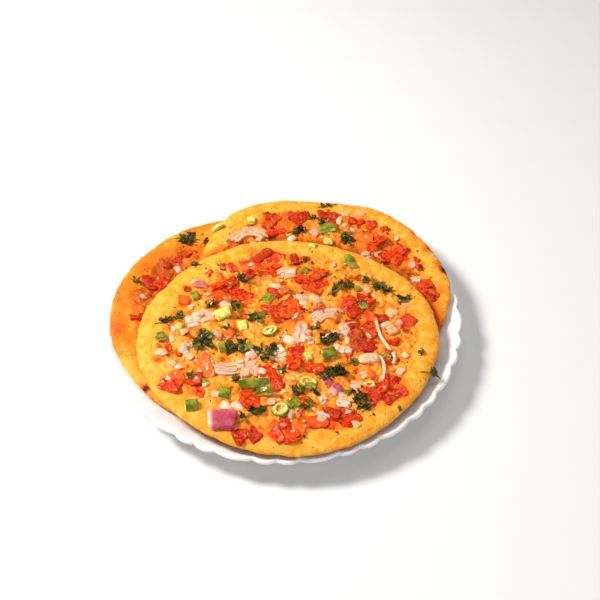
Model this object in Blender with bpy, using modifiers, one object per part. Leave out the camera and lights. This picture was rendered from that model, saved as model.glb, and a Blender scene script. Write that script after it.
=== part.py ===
"""Three uttapams, thick batter pancakes topped with vegetables, overlapping on a fluted white dinner plate.

Metres, +Z up. The origin is the centre of the plate's foot ring, on the table, and +Y points to the far side.
"""

import math
import random

import bmesh
import bpy
import numpy as np
from mathutils import Matrix, Vector, noise
from mathutils.bvhtree import BVHTree

MM = 0.001

# Plate, a ten-inch dinner plate
PLATE_RADIUS = 127 * MM
PLATE_HEIGHT = 20.5 * MM
WELL_RADIUS = 74 * MM
WELL_HEIGHT = 6 * MM
RIM_CURVE = 1.35
WALL = 3 * MM
FOOT_OUTER = 68 * MM
FOOT_INNER = 63 * MM
FOOT_RECESS = 2.6 * MM
LIP = 1.6 * MM
LOBE_GROUPS = 14
LOBE_SECTORS = (3, 3, 5)
LOBE_START = math.radians(4.1)
NOTCH_DEPTH = 2.2 * MM
FLUTED_FROM = 0.84
PLATE_RINGS = (WELL_RADIUS, 0.74 * PLATE_RADIUS, 0.88 * PLATE_RADIUS, PLATE_RADIUS - LIP)

# Uttapams, about eight inches across
THICKNESS = 6.8 * MM
RIM_SWELL = 0.7 * MM
BATTER_BUMP = 0.9 * MM
BUMP_WIDTH = 17 * MM
TOP_RINGS = (0.14, 0.28, 0.42, 0.55, 0.67, 0.78, 0.87, 0.94, 0.985)
UNDER_RINGS = (0.97, 0.75, 0.4)
TOUCH_GAP = 0.55 * MM
TOPPING_GAP = 0.45 * MM

# How a soft pancake gives way: its weight against its stiffness, for bends of the second, third and fourth degree
SHEET_WEIGHT = 1.0
SHEET_STIFFNESS = (0, 0, 0.06, 0.24, 0.72)
CONTACT_STIFFNESS = 3.0e4
SETTLE_STEPS = 60
SETTLE_GRID = 41


def clear_scene():
    for obj in list(bpy.data.objects):
        bpy.data.objects.remove(obj)


def material(name, colour, roughness):
    made = bpy.data.materials.new(name)
    made.use_nodes = True
    shader = made.node_tree.nodes["Principled BSDF"]
    shader.inputs["Base Color"].default_value = (*colour, 1)
    shader.inputs["Roughness"].default_value = roughness
    shader.inputs["Metallic"].default_value = 0
    return made


def smoothstep(value):
    value = np.clip(value, 0, 1)
    return value * value * (3 - 2 * value)


def object_from(name, bm, collection, finish):
    """Triangulates a bmesh and makes it one smooth-shaded object."""
    bmesh.ops.triangulate(bm, faces=bm.faces)
    bmesh.ops.recalc_face_normals(bm, faces=bm.faces)
    if bm.calc_volume(signed=True) < 0:
        bmesh.ops.reverse_faces(bm, faces=bm.faces)
    mesh = bpy.data.meshes.new(name)
    bm.to_mesh(mesh)
    bm.free()
    mesh.shade_smooth()
    mesh.set_sharp_from_angle(angle=math.radians(50))
    obj = bpy.data.objects.new(name, mesh)
    obj.data.materials.append(finish)
    collection.objects.link(obj)
    return obj


def rim_height(radius):
    """Height of the plate's upper surface: a flat well, then a rim that climbs ever more steeply."""
    climb = (radius - WELL_RADIUS) / (PLATE_RADIUS - LIP - WELL_RADIUS)
    return WELL_HEIGHT + (PLATE_HEIGHT - WELL_HEIGHT) * max(climb, 0) ** RIM_CURVE


def plate_top(radius):
    """The same height as the mesh has it, straight between its rings."""
    return np.interp(radius, PLATE_RINGS, [rim_height(ring) for ring in PLATE_RINGS])


def lobe(angle):
    """0 in a notch of the fluted edge, 1 on the crest of a lobe: two short lobes, then a long one."""
    sectors = sum(LOBE_SECTORS)
    place = ((angle - LOBE_START) / math.tau * LOBE_GROUPS) % 1 * sectors
    for width in LOBE_SECTORS:
        if place <= width:
            return 1 - (2 * place / width - 1) ** 2
        place -= width
    return 0


def make_plate(collection, finish):
    """The plate is a profile turned about Z, with the lobes pressed into its edge."""
    upper = [(r, rim_height(r)) for r in (0, *PLATE_RINGS)]
    lip = [
        (PLATE_RADIUS, PLATE_HEIGHT - LIP / 2),
        (PLATE_RADIUS - LIP, PLATE_HEIGHT - LIP - WALL / 2),
    ]
    under = [(r, rim_height(r) - WALL) for r in PLATE_RINGS[-2:0:-1]]
    foot = [
        (FOOT_OUTER, WELL_HEIGHT - WALL),
        (FOOT_OUTER - LIP, 0),
        (FOOT_INNER, 0),
        (FOOT_INNER - LIP, FOOT_RECESS),
        (0, FOOT_RECESS),
    ]
    profile = upper + lip + under + foot
    line = bpy.data.meshes.new("plate_profile")
    line.from_pydata([(r, 0, z) for r, z in profile], [(i, i + 1) for i in range(len(profile) - 1)], [])
    guide = bpy.data.objects.new("plate_profile", line)
    collection.objects.link(guide)
    screw = guide.modifiers.new("turn", "SCREW")
    screw.steps = screw.render_steps = LOBE_GROUPS * sum(LOBE_SECTORS)
    screw.use_merge_vertices = True
    screw.merge_threshold = 0.00001
    graph = bpy.context.evaluated_depsgraph_get()
    turned = bpy.data.meshes.new_from_object(guide.evaluated_get(graph))
    bpy.data.objects.remove(guide)
    bm = bmesh.new()
    bm.from_mesh(turned)
    bmesh.ops.remove_doubles(bm, verts=bm.verts, dist=0.00001)
    turn = Matrix.Rotation(LOBE_START, 3, "Z")
    for vertex in bm.verts:
        vertex.co = turn @ vertex.co
        radius = vertex.co.xy.length
        fluted = smoothstep((radius / PLATE_RADIUS - FLUTED_FROM) / (1 - FLUTED_FROM))
        angle = math.atan2(vertex.co.y, vertex.co.x)
        if fluted > 0:
            pulled = 1 - NOTCH_DEPTH * fluted * (1 - lobe(angle)) / radius
            vertex.co.x *= pulled
            vertex.co.y *= pulled
    return object_from("plate", bm, collection, finish)


class Uttapam:
    """One pancake: a round sheet with an uneven outline that has settled on what lies under it."""

    def __init__(self, name, centre, radius, waves, sectors, seed):
        self.name = name
        self.centre = centre
        self.radius = radius
        self.waves = waves
        self.sectors = sectors
        self.seed = seed
        self.bend = None

    def outline(self, angle):
        """Distance from the centre to the edge. A wave is (count, height, bearing of a crest in degrees)."""
        out = self.radius
        for count, height, crest in self.waves:
            out = out + height * np.cos(count * (angle - math.radians(crest)))
        return out

    def share(self, x, y):
        """0 at the centre, 1 on the edge."""
        x, y = x - self.centre[0], y - self.centre[1]
        return np.hypot(x, y) / self.outline(np.arctan2(y, x))

    def basis(self, x, y):
        """The terms of a gently bent sheet, up to the fourth degree, with each one's degree."""
        u, v = (x - self.centre[0]) / self.radius, (y - self.centre[1]) / self.radius
        powers = [(i, d - i) for d in range(5) for i in range(d + 1)]
        return np.stack([u**i * v**j for i, j in powers]), [i + j for i, j in powers]

    def underside(self, x, y):
        terms, _ = self.basis(np.asarray(x, float), np.asarray(y, float))
        return np.tensordot(self.bend, terms, 1)

    def thickness(self, x, y):
        """A flat middle with soft bumps in the batter, a slightly swollen rim, and a thin rounded edge."""
        share = self.share(x, y)
        swell = RIM_SWELL * np.exp(-(((share - 0.9) / 0.06) ** 2))
        rounded = np.sqrt(np.clip(1 - (np.clip(share - 0.93, 0, 1) / 0.075) ** 2, 0.12, 1))
        bumps = np.vectorize(lambda a, b: noise.noise(Vector((a / BUMP_WIDTH, b / BUMP_WIDTH, self.seed))))
        rough = BATTER_BUMP * bumps(x, y) * (1 - 0.8 * smoothstep((share - 0.6) / 0.25))
        return (THICKNESS * (0.86 + 0.14 * smoothstep(1 - share)) + swell + rough) * rounded

    def top(self, x, y):
        """Height of the upper surface inside the outline, and far below the table outside it."""
        return np.where(self.share(x, y) < 1, self.underside(x, y) + self.thickness(x, y), -1)

    def settle(self, supports):
        """Lowers the sheet onto the supports: its weight pulls it down, bending and contact hold it up."""
        grid = np.linspace(-1.1, 1.1, SETTLE_GRID) * self.radius
        x, y = (a.ravel() for a in np.meshgrid(self.centre[0] + grid, self.centre[1] + grid))
        inside = self.share(x, y) < 1
        x, y = x[inside], y[inside]
        held = np.max([support(x, y) for support in supports], axis=0) / MM
        terms, degrees = self.basis(x, y)
        stiffness = np.diag([SHEET_STIFFNESS[d] for d in degrees])
        count = len(x)

        def energy(bend):
            sunk = np.maximum(held - bend @ terms, 0)
            contact = CONTACT_STIFFNESS * (sunk**2).sum() / count
            return SHEET_WEIGHT * (bend @ terms).mean() + (bend @ stiffness @ bend + contact) / 2

        bend = np.zeros(len(terms))
        for _ in range(SETTLE_STEPS):
            sunk = np.maximum(held - bend @ terms, 0)
            pressed = terms[:, sunk > 0]
            slope = SHEET_WEIGHT * terms.mean(axis=1) + stiffness @ bend - CONTACT_STIFFNESS * (terms @ sunk) / count
            curve = stiffness + CONTACT_STIFFNESS * (pressed @ pressed.T) / count + 1e-3 * np.eye(len(terms))
            step = np.linalg.solve(curve, slope)
            size = 1.0
            while energy(bend - size * step) > energy(bend) and size > 1e-4:
                size /= 2
            bend = bend - size * step
        bend[0] += max((held - bend @ terms).max(), 0)
        self.bend = bend * MM
        self.bend[0] += TOUCH_GAP

    def point(self, share, angle, height):
        """A point of the mesh. height is 0 on the underside and 1 on the upper surface."""
        reach = share * self.outline(angle)
        x = self.centre[0] + reach * math.cos(angle)
        y = self.centre[1] + reach * math.sin(angle)
        inner = self.centre[0] + 0.999 * (x - self.centre[0]), self.centre[1] + 0.999 * (y - self.centre[1])
        return Vector((x, y, float(self.underside(x, y)) + height * float(self.thickness(*inner))))

    def mesh(self):
        """Rings of vertices over the top, round the edge and back under, closed with a point at each pole."""
        rings = [(share, 1.0) for share in TOP_RINGS] + [(1.0, 0.5)] + [(share, 0.0) for share in UNDER_RINGS]
        bm = bmesh.new()
        loops = []
        for share, height in rings:
            angles = [math.tau * i / self.sectors for i in range(self.sectors)]
            loops.append([bm.verts.new(self.point(share, angle, height)) for angle in angles])
        for outer, inner in zip(loops[1:], loops):
            for i in range(self.sectors):
                j = (i + 1) % self.sectors
                bm.faces.new((inner[i], outer[i], outer[j], inner[j]))
        for loop, height in ((loops[0], 1.0), (loops[-1], 0.0)):
            pole = bm.verts.new(self.point(0, 0, height))
            for i in range(self.sectors):
                bm.faces.new((loop[i], loop[(i + 1) % self.sectors], pole))
        return bm


def ground_of(objects):
    """Looks straight down onto the given objects and says how high they are."""
    trees = []
    for obj in objects:
        trees.append(BVHTree.FromPolygons([v.co for v in obj.data.vertices], [p.vertices for p in obj.data.polygons]))

    def height(x, y):
        hits = [tree.ray_cast(Vector((x, y, 1)), Vector((0, 0, -1)))[0] for tree in trees]
        return max((hit.z for hit in hits if hit), default=None)

    return height


def lump_form(length, width, height, rng):
    """A soft irregular chunk, such as pressed tomato. Its outline bulges and its top is uneven."""
    bm = bmesh.new()
    bmesh.ops.create_icosphere(bm, subdivisions=2, radius=1)
    shift = Vector((rng.uniform(0, 50), rng.uniform(0, 50), rng.uniform(0, 50)))
    for vertex in bm.verts:
        bearing = Vector((vertex.co.x, vertex.co.y, 0)).normalized()
        outward = 1 + 0.45 * noise.noise(bearing * 1.2 + shift)
        upward = 1 + 0.5 * noise.noise(vertex.co * 1.3 + shift)
        squared = Vector([math.copysign(abs(c) ** 0.75, c) for c in vertex.co])
        vertex.co.x = squared.x * length / 2 * outward
        vertex.co.y = squared.y * width / 2 * outward
        vertex.co.z = squared.z * height * upward
    return bm


def dice_form(length, width, height, rng):
    """A cut block with slightly skewed faces, such as a dice of chilli or onion."""
    bm = bmesh.new()
    bmesh.ops.create_cube(bm, size=1)
    bmesh.ops.subdivide_edges(bm, edges=bm.edges, cuts=1, use_grid_fill=True)
    for vertex in bm.verts:
        corner = sum(abs(c) > 0.4 for c in vertex.co) == 3
        size = 0.9 if corner else 1.0
        skew = 0.12 * vertex.co.y * (1 + rng.random())
        vertex.co.x = (vertex.co.x + skew) * length * size
        vertex.co.y = vertex.co.y * width * size
        vertex.co.z = (vertex.co.z * size + 0.5) * height
    return bm


def ring_form(length, width, height, rng):
    """A slice across a chilli: a ring lying flat."""
    bpy.ops.mesh.primitive_torus_add(
        major_segments=10, minor_segments=5, major_radius=0.36, minor_radius=0.14, rotation=(0, 0, rng.uniform(0, 6))
    )
    torus = bpy.context.object
    bm = bmesh.new()
    bm.from_mesh(torus.data)
    for vertex in bm.verts:
        across = torus.matrix_world @ vertex.co
        vertex.co = Vector((across.x * length, across.y * width, (0.5 + across.z / 0.28) * height))
    bpy.data.objects.remove(torus)
    return bm


LEAF_POINTS = 14
LEAF_THICKNESS = 0.9 * MM


def leaf_form(length, width, height, rng):
    """A wilted, lobed leaf: a thin wavy sheet, whose two faces are split into triangles alike."""
    lobes, start = rng.choice((3, 4, 5)), rng.uniform(0, math.tau)
    bm = bmesh.new()
    faces = []
    for level in (1, 0):
        middle = bm.verts.new((0, 0, 0))
        loops = []
        for share in (0.5, 1.0):
            loop = []
            for i in range(LEAF_POINTS):
                angle = math.tau * i / LEAF_POINTS
                reach = share * (1 + 0.26 * share * math.cos(lobes * angle + start)) / 2
                loop.append(bm.verts.new((reach * length * math.cos(angle), reach * width * math.sin(angle), 0)))
            loops.append(loop)
        for i in range(LEAF_POINTS):
            j = (i + 1) % LEAF_POINTS
            faces.append(bm.faces.new((middle, loops[0][i], loops[0][j])))
            faces.append(bm.faces.new((loops[0][i], loops[1][i], loops[1][j])))
            faces.append(bm.faces.new((loops[0][i], loops[1][j], loops[0][j])))
        if level:
            upper = [middle, *loops[0], *loops[1]]
        else:
            lower = [middle, *loops[0], *loops[1]]
    wave = Vector((start, 0, 0))
    for above, below in zip(upper, lower):
        curl = height * (0.5 + noise.noise(Vector((below.co.x, below.co.y, 0)) / (5 * MM) + wave))
        below.co.z = max(curl, 0)
        above.co.z = below.co.z + LEAF_THICKNESS
    edge_up, edge_down = upper[-LEAF_POINTS:], lower[-LEAF_POINTS:]
    for i in range(LEAF_POINTS):
        j = (i + 1) % LEAF_POINTS
        bm.faces.new((edge_up[i], edge_down[i], edge_down[j]))
        bm.faces.new((edge_up[i], edge_down[j], edge_up[j]))
    return bm


def lay_chunk(bm, place, turn, ground):
    """Turns a chunk and sets it into the batter: what would be below the surface stops just above it."""
    spin = Matrix.Rotation(math.radians(turn), 3, "Z")
    base = ground(*place)
    reach = max(vertex.co.x for vertex in bm.verts) / 3
    around = [(reach * math.cos(step), reach * math.sin(step)) for step in range(6)]
    for vertex in bm.verts:
        vertex.co = spin @ vertex.co + Vector((*place, base))
        under = max(ground(vertex.co.x + dx, vertex.co.y + dy) or 0 for dx, dy in around)
        vertex.co.z = max(vertex.co.z, under + TOPPING_GAP)


def lay_sheet(bm, place, turn, ground):
    """Turns a thin form and lays it over the batter, so that it follows the surface."""
    spin = Matrix.Rotation(math.radians(turn), 3, "Z")
    base = ground(*place)
    for vertex in bm.verts:
        turned = spin @ vertex.co
        x, y = place[0] + turned.x, place[1] + turned.y
        vertex.co = Vector((x, y, (ground(x, y) or base) + TOPPING_GAP + 0.15 * MM + turned.z))


FORMS = {
    "tomato": (lump_form, lay_chunk, 3.4 * MM),
    "onion": (dice_form, lay_chunk, 2.6 * MM),
    "chilli": (dice_form, lay_chunk, 3.4 * MM),
    "chilli_ring": (ring_form, lay_sheet, 2.6 * MM),
    "coriander": (leaf_form, lay_sheet, 1.8 * MM),
}

# Toppings as large as a berry. Each is its kind, its place from the uttapam's centre in millimetres
# across and away, its length and width in millimetres, and its turn in degrees.
TOPPINGS = {
    "front": (
        ("tomato", -17, 76, 22, 10, -12),
        ("tomato", -19, 61, 22, 14, 10),
        ("tomato", -45, 42, 18, 14, 20),
        ("tomato", -5, 21, 21, 14, 15),
        ("tomato", 17, 51, 17, 21, 20),
        ("tomato", 48, 30, 20, 15, 35),
        ("tomato", 51, 2, 18, 24, -15),
        ("tomato", -71, -42, 21, 14, 0),
        ("tomato", -57, -30, 11, 12, -30),
        ("tomato", 4, -23, 15, 13, 20),
        ("tomato", -25, -81, 19, 10, 10),
        ("tomato", -2, -79, 21, 12, 0),
        ("tomato", 33, -69, 20, 14, 12),
        ("tomato", 67, -46, 18, 16, 30),
        ("coriander", -31, 50, 16, 8, -38),
        ("coriander", -82, 12, 19, 9, 32),
        ("coriander", -60, -7, 21, 17, 40),
        ("coriander", -37, -11, 18, 15, 0),
        ("coriander", -14, -15, 18, 15, 20),
        ("coriander", -24, 15, 15, 15, 60),
        ("coriander", 37, 45, 21, 10, 28),
        ("coriander", 62, 47, 32, 8, -30),
        ("coriander", 27, -4, 16, 11, 35),
        ("coriander", 28, -33, 20, 14, 0),
        ("coriander", -22, -66, 23, 10, 42),
        ("coriander", 48, -55, 17, 15, 70),
        ("chilli", -46, 16, 11, 9, 25),
        ("chilli", -15, 33, 9, 9, 60),
        ("chilli", 43, 71, 9, 11, 10),
        ("chilli", -23, -43, 20, 6, 2),
        ("chilli", -43, -51, 9, 11, 0),
        ("chilli", -63, -61, 9, 9, 10),
        ("chilli", 27, -17, 10, 9, 25),
        ("chilli_ring", -13, 3, 12, 11, 0),
        ("chilli_ring", 13, -40, 13, 12, 0),
        ("chilli_ring", -5, -64, 12, 11, 0),
        ("onion", 8, 3, 21, 7, 80),
        ("onion", -1, 58, 12, 9, 10),
        ("onion", 25, 19, 19, 9, 18),
        ("onion", 54, -21, 12, 9, 15),
        ("onion", -43, -73, 15, 13, 0),
        ("onion", -26, -30, 13, 10, 80),
        ("onion", -42, -31, 14, 9, -5),
        ("onion", -62, 15, 16, 12, 10),
    ),
    "right": (
        ("tomato", -22, 70, 28, 12, 12),
        ("tomato", 41, 48, 18, 13, -25),
        ("tomato", 58, 33, 16, 14, 20),
        ("tomato", 81, -2, 16, 14, -50),
        ("coriander", -13, 58, 15, 10, 20),
        ("coriander", 23, 52, 18, 11, -35),
        ("chilli", 9, 59, 14, 9, 15),
        ("onion", -52, 55, 26, 8, 22),
    ),
    "left": (
        ("coriander", -47, 74, 17, 14, 30),
        ("tomato", -66, 27, 18, 10, -8),
    ),
}

# Smaller bits, pressed into the batter and part of the uttapam: how many, and how far they reach out
CRUMBS = {"front": (30, 0.86), "right": (12, 0.86), "left": (8, 0.8)}
CRUMB_SIZES = (4.5 * MM, 7 * MM)
CRUMB_TRIES = 4000


def crumb_places(cake, taken, hidden_by, rng, count, reach):
    """Seeded places for the smaller bits, clear of the larger toppings, each other and the cakes above."""
    places = []
    for _ in range(CRUMB_TRIES):
        if len(places) == count:
            break
        share, angle = reach * math.sqrt(rng.random()), rng.uniform(0, math.tau)
        x = cake.centre[0] + share * cake.outline(angle) * math.cos(angle)
        y = cake.centre[1] + share * cake.outline(angle) * math.sin(angle)
        size = rng.uniform(*CRUMB_SIZES)
        clear = all(math.dist((x, y), other[:2]) > 0.62 * other[2] + 0.9 * size for other in taken)
        clear = clear and all(math.dist((x, y), other[:2]) > 1.2 * size for other in places)
        if clear and all(above.share(x, y) > 1.1 for above in hidden_by):
            places.append((x, y, size))
    return places


def press_crumbs(obj, cake, places, rng, collection):
    """Joins small tapered bits to an uttapam with one Boolean union."""
    bits = bpy.data.collections.new(obj.name + "_bits")
    bpy.context.scene.collection.children.link(bits)
    ground = ground_of([obj])
    for x, y, size in places:
        bm = bmesh.new()
        bmesh.ops.create_cube(bm, size=1)
        spin = Matrix.Rotation(rng.uniform(0, math.tau), 3, "Z")
        long = rng.uniform(1.0, 1.4)
        base = ground(x, y)
        for vertex in bm.verts:
            taper = 0.8 if vertex.co.z > 0 else 1.1
            vertex.co = Vector((vertex.co.x * size * long * taper, vertex.co.y * size * taper, vertex.co.z * 3.6 * MM))
            vertex.co = spin @ vertex.co + Vector((x, y, base))
        object_from(f"{obj.name}_bit_{len(bits.objects)}", bm, bits, obj.data.materials[0])
    union = obj.modifiers.new("press_in", "BOOLEAN")
    union.operation = "UNION"
    union.solver = "EXACT"
    union.operand_type = "COLLECTION"
    union.collection = bits
    graph = bpy.context.evaluated_depsgraph_get()
    joined = bpy.data.meshes.new_from_object(obj.evaluated_get(graph))
    obj.modifiers.clear()
    obj.data = joined
    for bit in list(bits.objects):
        bpy.data.objects.remove(bit)
    bpy.data.collections.remove(bits)


def make_toppings(cake, obj, collection, finishes):
    """Makes an uttapam's larger toppings, each a piece of its own that rests on the batter."""
    rng = random.Random(int(cake.seed * 10))
    ground = ground_of([obj])
    counts = {}
    for kind, across, away, length, width, turn in TOPPINGS[cake.name]:
        form, lay, height = FORMS[kind]
        place = cake.centre[0] + across * MM, cake.centre[1] + away * MM
        bm = form(length * MM, width * MM, height, rng)
        lay(bm, place, turn, ground)
        counts[kind] = counts.get(kind, 0) + 1
        finish = finishes[kind.split("_")[0]]
        object_from(f"{kind}_{cake.name}_{counts[kind]:02d}", bm, collection, finish)


def main():
    clear_scene()
    dish = bpy.data.collections.new("uttapams_on_plate")
    bpy.context.scene.collection.children.link(dish)
    finishes = {
        "plate": material("white_glaze", (0.86, 0.85, 0.84), 0.15),
        "batter": material("browned_batter", (0.80, 0.42, 0.10), 0.5),
        "tomato": material("tomato", (0.75, 0.10, 0.03), 0.3),
        "onion": material("onion", (0.85, 0.55, 0.48), 0.4),
        "chilli": material("green_chilli", (0.30, 0.48, 0.06), 0.35),
        "coriander": material("coriander", (0.03, 0.10, 0.02), 0.45),
    }
    make_plate(dish, finishes["plate"])
    left = Uttapam("left", (-25.2 * MM, 2.4 * MM), 98.2 * MM, ((2, 0.9 * MM, 66), (5, 0.6 * MM, 34)), 48, 3.7)
    right_waves = ((3, 1.5 * MM, 0), (4, 1.3 * MM, 32), (5, 1.0 * MM, -19), (6, 1.4 * MM, 4))
    right = Uttapam("right", (23 * MM, 22.2 * MM), 95.2 * MM, right_waves, 48, 8.2)
    front_waves = ((2, 4.4 * MM, 6), (3, 0.5 * MM, 31), (4, 1.5 * MM, 9))
    front = Uttapam("front", (4 * MM, -28 * MM), 98.7 * MM, front_waves, 60, 5.1)
    supports = [lambda x, y: plate_top(np.hypot(x, y))]
    cakes = (left, right, front)
    for cake in cakes:
        cake.settle(supports)
        supports.append(cake.top)
    for index, cake in enumerate(cakes):
        obj = object_from(f"uttapam_{cake.name}", cake.mesh(), dish, finishes["batter"])
        taken = [
            (cake.centre[0] + across * MM, cake.centre[1] + away * MM, max(length, width) * MM)
            for _, across, away, length, width, _ in TOPPINGS[cake.name]
        ]
        rng = random.Random(int(cake.seed * 100))
        count, reach = CRUMBS[cake.name]
        places = crumb_places(cake, taken, cakes[index + 1 :], rng, count, reach)
        make_toppings(cake, obj, dish, finishes)
        press_crumbs(obj, cake, places, rng, dish)


main()
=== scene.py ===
"""The looks of a plate of uttapams: three thick batter pancakes with chopped vegetables, on a plate.

Metres, +Z up, in the frame's own coordinates. Sizes in the sections are written in millimetres times MM.
"""

import math
import random

import bpy
import numpy as np
from mathutils import Matrix, Vector, noise
from mathutils.bvhtree import BVHTree
from mathutils.kdtree import KDTree


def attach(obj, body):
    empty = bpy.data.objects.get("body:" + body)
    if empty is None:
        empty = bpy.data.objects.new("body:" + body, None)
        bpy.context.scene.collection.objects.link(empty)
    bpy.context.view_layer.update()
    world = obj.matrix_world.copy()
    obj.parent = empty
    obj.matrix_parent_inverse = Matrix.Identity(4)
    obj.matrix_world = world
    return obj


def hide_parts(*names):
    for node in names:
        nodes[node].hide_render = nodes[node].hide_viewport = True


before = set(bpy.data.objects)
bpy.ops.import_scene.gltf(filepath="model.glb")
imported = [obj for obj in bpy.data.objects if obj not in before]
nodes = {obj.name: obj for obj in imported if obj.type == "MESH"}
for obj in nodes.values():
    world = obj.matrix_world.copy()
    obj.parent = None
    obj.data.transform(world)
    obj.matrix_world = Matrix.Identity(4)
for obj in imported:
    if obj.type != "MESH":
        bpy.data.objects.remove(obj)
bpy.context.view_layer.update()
bpy.ops.object.select_all(action="DESELECT")


# Plate: one piece of white porcelain, pressed with a fluted rim of two short lobes and a long one in
# turn. It is dipped in clear glaze all over and fired on its foot ring, which is wiped bare first.
MM = 0.001
PLATE_RADIUS = 127 * MM
PLATE_HEIGHT = 20.5 * MM
WELL_RADIUS = 74 * MM
WELL_HEIGHT = 6 * MM
RIM_CURVE = 1.35
WELL_RINGS = (12, 30, 48, 62, 70)
RIM_RINGS = 26
RECESS_RINGS = (44, 20)
WALL = 3 * MM
LIP = 1.6 * MM
FOOT_OUTER = 68 * MM
FOOT_INNER = 63 * MM
FOOT_RECESS = 2.6 * MM
LOBE_GROUPS = 14
LOBE_SECTORS = (3, 3, 5)
LOBE_START = math.radians(4.1)
NOTCH_DEPTH = 2.2 * MM
FLUTED_FROM = 0.84
FLUTE_RIB = 0.7 * MM
SECTOR_CUTS = 4


def smoothstep(value):
    value = np.clip(value, 0, 1)
    return value * value * (3 - 2 * value)


def rim_height(radius):
    """Height of the plate's upper surface: a flat well, then a rim that climbs ever more steeply."""
    climb = (radius - WELL_RADIUS) / (PLATE_RADIUS - LIP - WELL_RADIUS)
    return WELL_HEIGHT + (PLATE_HEIGHT - WELL_HEIGHT) * max(climb, 0) ** RIM_CURVE


def arc(centre, across, up, start, end, count):
    """Points on an oval arc, from one bearing to another in degrees."""
    angles = [math.radians(start + (end - start) * i / (count - 1)) for i in range(count)]
    return [(centre[0] + across * math.cos(a), centre[1] + up * math.sin(a)) for a in angles]


def plate_profile():
    """Radius and height along the plate's section, from the middle over the rim and back under."""
    upper = [(r * MM, WELL_HEIGHT) for r in WELL_RINGS]
    climb = [WELL_RADIUS + (PLATE_RADIUS - LIP - WELL_RADIUS) * i / RIM_RINGS for i in range(RIM_RINGS)]
    upper += [(r, rim_height(r)) for r in climb]
    lip = arc((PLATE_RADIUS - LIP, PLATE_HEIGHT - LIP), LIP, LIP, 90, -80, 9)
    under = [(r, rim_height(r) - WALL) for r in reversed(climb[:-2:2])]
    foot = arc((FOOT_OUTER + LIP, WELL_HEIGHT - WALL - LIP), LIP, LIP, 90, 180, 4)
    foot += arc((FOOT_OUTER - LIP / 2, LIP / 2), LIP / 2, LIP / 2, 0, -90, 4)
    foot += arc((FOOT_INNER + LIP / 2, LIP / 2), LIP / 2, LIP / 2, -90, -180, 4)
    foot += [(FOOT_INNER - LIP, FOOT_RECESS)] + [(r * MM, FOOT_RECESS) for r in RECESS_RINGS]
    return upper + lip + under + foot


def lobe(angle):
    """0 in a notch of the fluted edge, 1 on the crest of a lobe."""
    place = ((angle - LOBE_START) / math.tau * LOBE_GROUPS) % 1 * sum(LOBE_SECTORS)
    crest = np.zeros_like(angle)
    begin = 0
    for width in LOBE_SECTORS:
        here = (place >= begin) & (place <= begin + width)
        crest[here] = 1 - (2 * (place[here] - begin) / width - 1) ** 2
        begin += width
    return crest


def coordinates(obj):
    """An object's vertices as rows of x, y and z."""
    found = np.empty(len(obj.data.vertices) * 3)
    obj.data.vertices.foreach_get("co", found)
    return found.reshape(-1, 3)


def set_coordinates(obj, points):
    obj.data.vertices.foreach_set("co", np.asarray(points, float).ravel())
    obj.data.update()


def close_up(merge=None):
    """Merges the active mesh's doubles, where a distance is given, and turns its faces outwards."""
    bpy.ops.object.mode_set(mode="EDIT")
    bpy.ops.mesh.select_all(action="SELECT")
    if merge:
        bpy.ops.mesh.remove_doubles(threshold=merge)
    bpy.ops.mesh.normals_make_consistent(inside=False)
    bpy.ops.object.mode_set(mode="OBJECT")


def press_plate():
    """Spins the section up from the middle by extruding the open border, then presses the flutes in."""
    profile = plate_profile()
    bpy.ops.mesh.primitive_circle_add(
        vertices=LOBE_GROUPS * sum(LOBE_SECTORS) * SECTOR_CUTS,
        radius=profile[0][0],
        fill_type="TRIFAN",
        location=(0, 0, profile[0][1]),
        rotation=(0, 0, LOBE_START),
    )
    plate = bpy.context.object
    bpy.ops.object.transform_apply(location=True, rotation=True, scale=True)
    bpy.ops.object.mode_set(mode="EDIT")
    bpy.ops.mesh.select_all(action="DESELECT")
    bpy.ops.mesh.select_non_manifold()
    for (radius, height), (next_radius, next_height) in zip(profile, profile[1:]):
        bpy.ops.mesh.extrude_edges_move(TRANSFORM_OT_translate={"value": (0, 0, next_height - height)})
        widen = next_radius / radius
        bpy.ops.transform.resize(value=(widen, widen, 1), center_override=(0, 0, 0))
    bpy.ops.mesh.merge(type="CENTER")
    bpy.ops.object.mode_set(mode="OBJECT")
    close_up()
    points = coordinates(plate)
    radius = np.hypot(points[:, 0], points[:, 1])
    fluted = smoothstep((radius / PLATE_RADIUS - FLUTED_FROM) / (1 - FLUTED_FROM))
    notched = fluted * (1 - lobe(np.arctan2(points[:, 1], points[:, 0])))
    points[:, :2] *= (1 - NOTCH_DEPTH * notched / np.maximum(radius, MM))[:, None]
    points[:, 2] += FLUTE_RIB * notched * (1 - fluted)
    set_coordinates(plate, points)
    plate.data.shade_smooth()
    plate.name = "fluted_plate"
    return plate


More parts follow.
